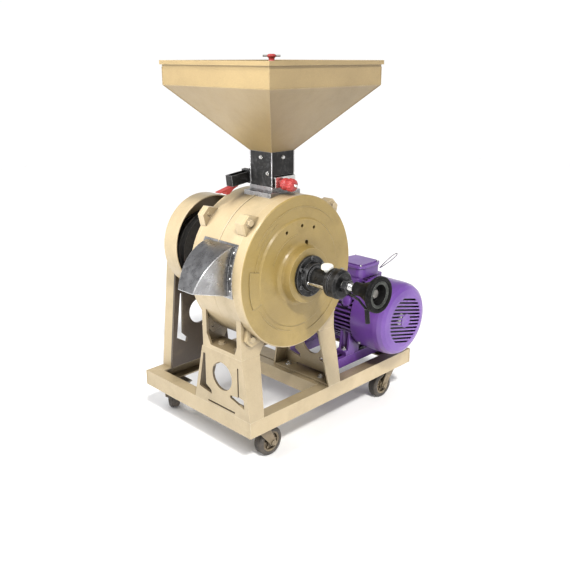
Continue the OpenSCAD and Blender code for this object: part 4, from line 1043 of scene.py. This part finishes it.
def make_guard_details():
    """Rolled rim of the belt guard."""
    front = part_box("belt_guard")[0].y
    rim = Build()
    centre = base_point(193, 0, 475)
    path = []
    for k in range(97):
        a = math.radians(5 + (292 - 5) * k / 96)
        path.append(Vector((centre.x + 148 * MM * math.cos(a), front + 1.0 * MM,
                            centre.z + 148 * MM * math.sin(a))))
    rim.sweep(path, round_section(2.0, 10), Y)
    rim.finish("guard_rim", "beige_paint", "machine", 60)


# ---------- motor ----------


def motor_point(radius, angle, y):
    a = math.radians(angle)
    return Vector((MOTOR.x + radius * MM * math.cos(a), BASE.y + y * MM,
                   MOTOR.z + radius * MM * math.sin(a)))


def make_motor_details():
    """Cowl screws and the plain disc on the cowl's face."""
    screws = Build()
    for angle in (45, 135, 225, 315):
        direction = Vector((math.cos(math.radians(angle)), 0, math.sin(math.radians(angle))))
        screws.bolt(motor_point(121.8, angle, 44), direction, 4, 2.6, washer=5.8)
    screws.finish("cowl_screws", "bright_steel", "machine")
    disc = Build()
    disc.turn([(0, 0), (23, 0), (23, 1.4), (21.5, 2.2), (19.5, 1.4), (0, 1.1)],
              motor_point(0, 0, -75.9), FRONT, 72)
    disc.finish("cowl_disc", "purple_paint", "machine")


def make_terminal_details():
    """Corner screws and gasket line of the terminal box, and its wire tag loop."""
    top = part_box("terminal_box")[1].z
    screws = Build()
    for x in (570, 658):
        for y in (80, 175):
            spot = base_point(x, y, 0)
            screws.bolt(Vector((spot.x, spot.y, top - 4 * MM)), Z, 2.9, 2.2, washer=4.2)
    screws.finish("lid_screws", "bright_steel", "machine")
    gasket = Build()
    path = []
    for x, y, start in ((642, 159, 0), (586, 159, 90), (586, 96, 180), (642, 96, 270)):
        for k in range(10):
            a = math.radians(start + 10 * k)
            path.append(base_point(x + 26 * math.cos(a), y + 26 * math.sin(a), 0))
    path = [Vector((q.x, q.y, top - 12.6 * MM)) for q in path]
    gasket.sweep(path, round_section(1.2, 8), Z, closed=True)
    gasket.finish("lid_gasket", "belt_rubber", "machine", 60)
    low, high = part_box("tag_loop")
    loop = Build()
    foot = Vector((high.x - 3 * MM, high.y - 4 * MM, low.z + 6 * MM))
    tip = Vector((foot.x, low.y + 2.5 * MM, high.z - 2.5 * MM))
    along = tip - foot
    across = along.normalized().cross(X)
    path = []
    for k in range(64):
        t = TAU * k / 64
        reach = 0.5 - 0.5 * math.cos(t)
        wide = 6.5 * MM * math.sin(t) * (0.35 + 0.65 * reach)
        path.append(foot + along * reach + across * wide)
    loop.sweep(path, round_section(1.5, 10), X, closed=True)
    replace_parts(loop.finish("tag_wire", "bright_steel", "machine", 60), "tag_loop")


# ---------- the whole picture ----------


make_camera()
make_studio()
make_floor()
MATERIALS = make_materials()
dress_cad_nodes()
make_mill_bolts()
make_frame_bolts()
for wheel_number, trail_angle in enumerate((0, 180, 60, 180), 1):
    make_wheel(wheel_number, math.radians(trail_angle))
make_hand_wheel()
make_screw()
make_collar_details()
make_knob()
make_wing()
make_feed_details()
make_hopper_details()
make_chute_details()
make_casing_details()
make_base_details()
make_belts()
make_guard_details()
make_motor_details()
make_terminal_details()
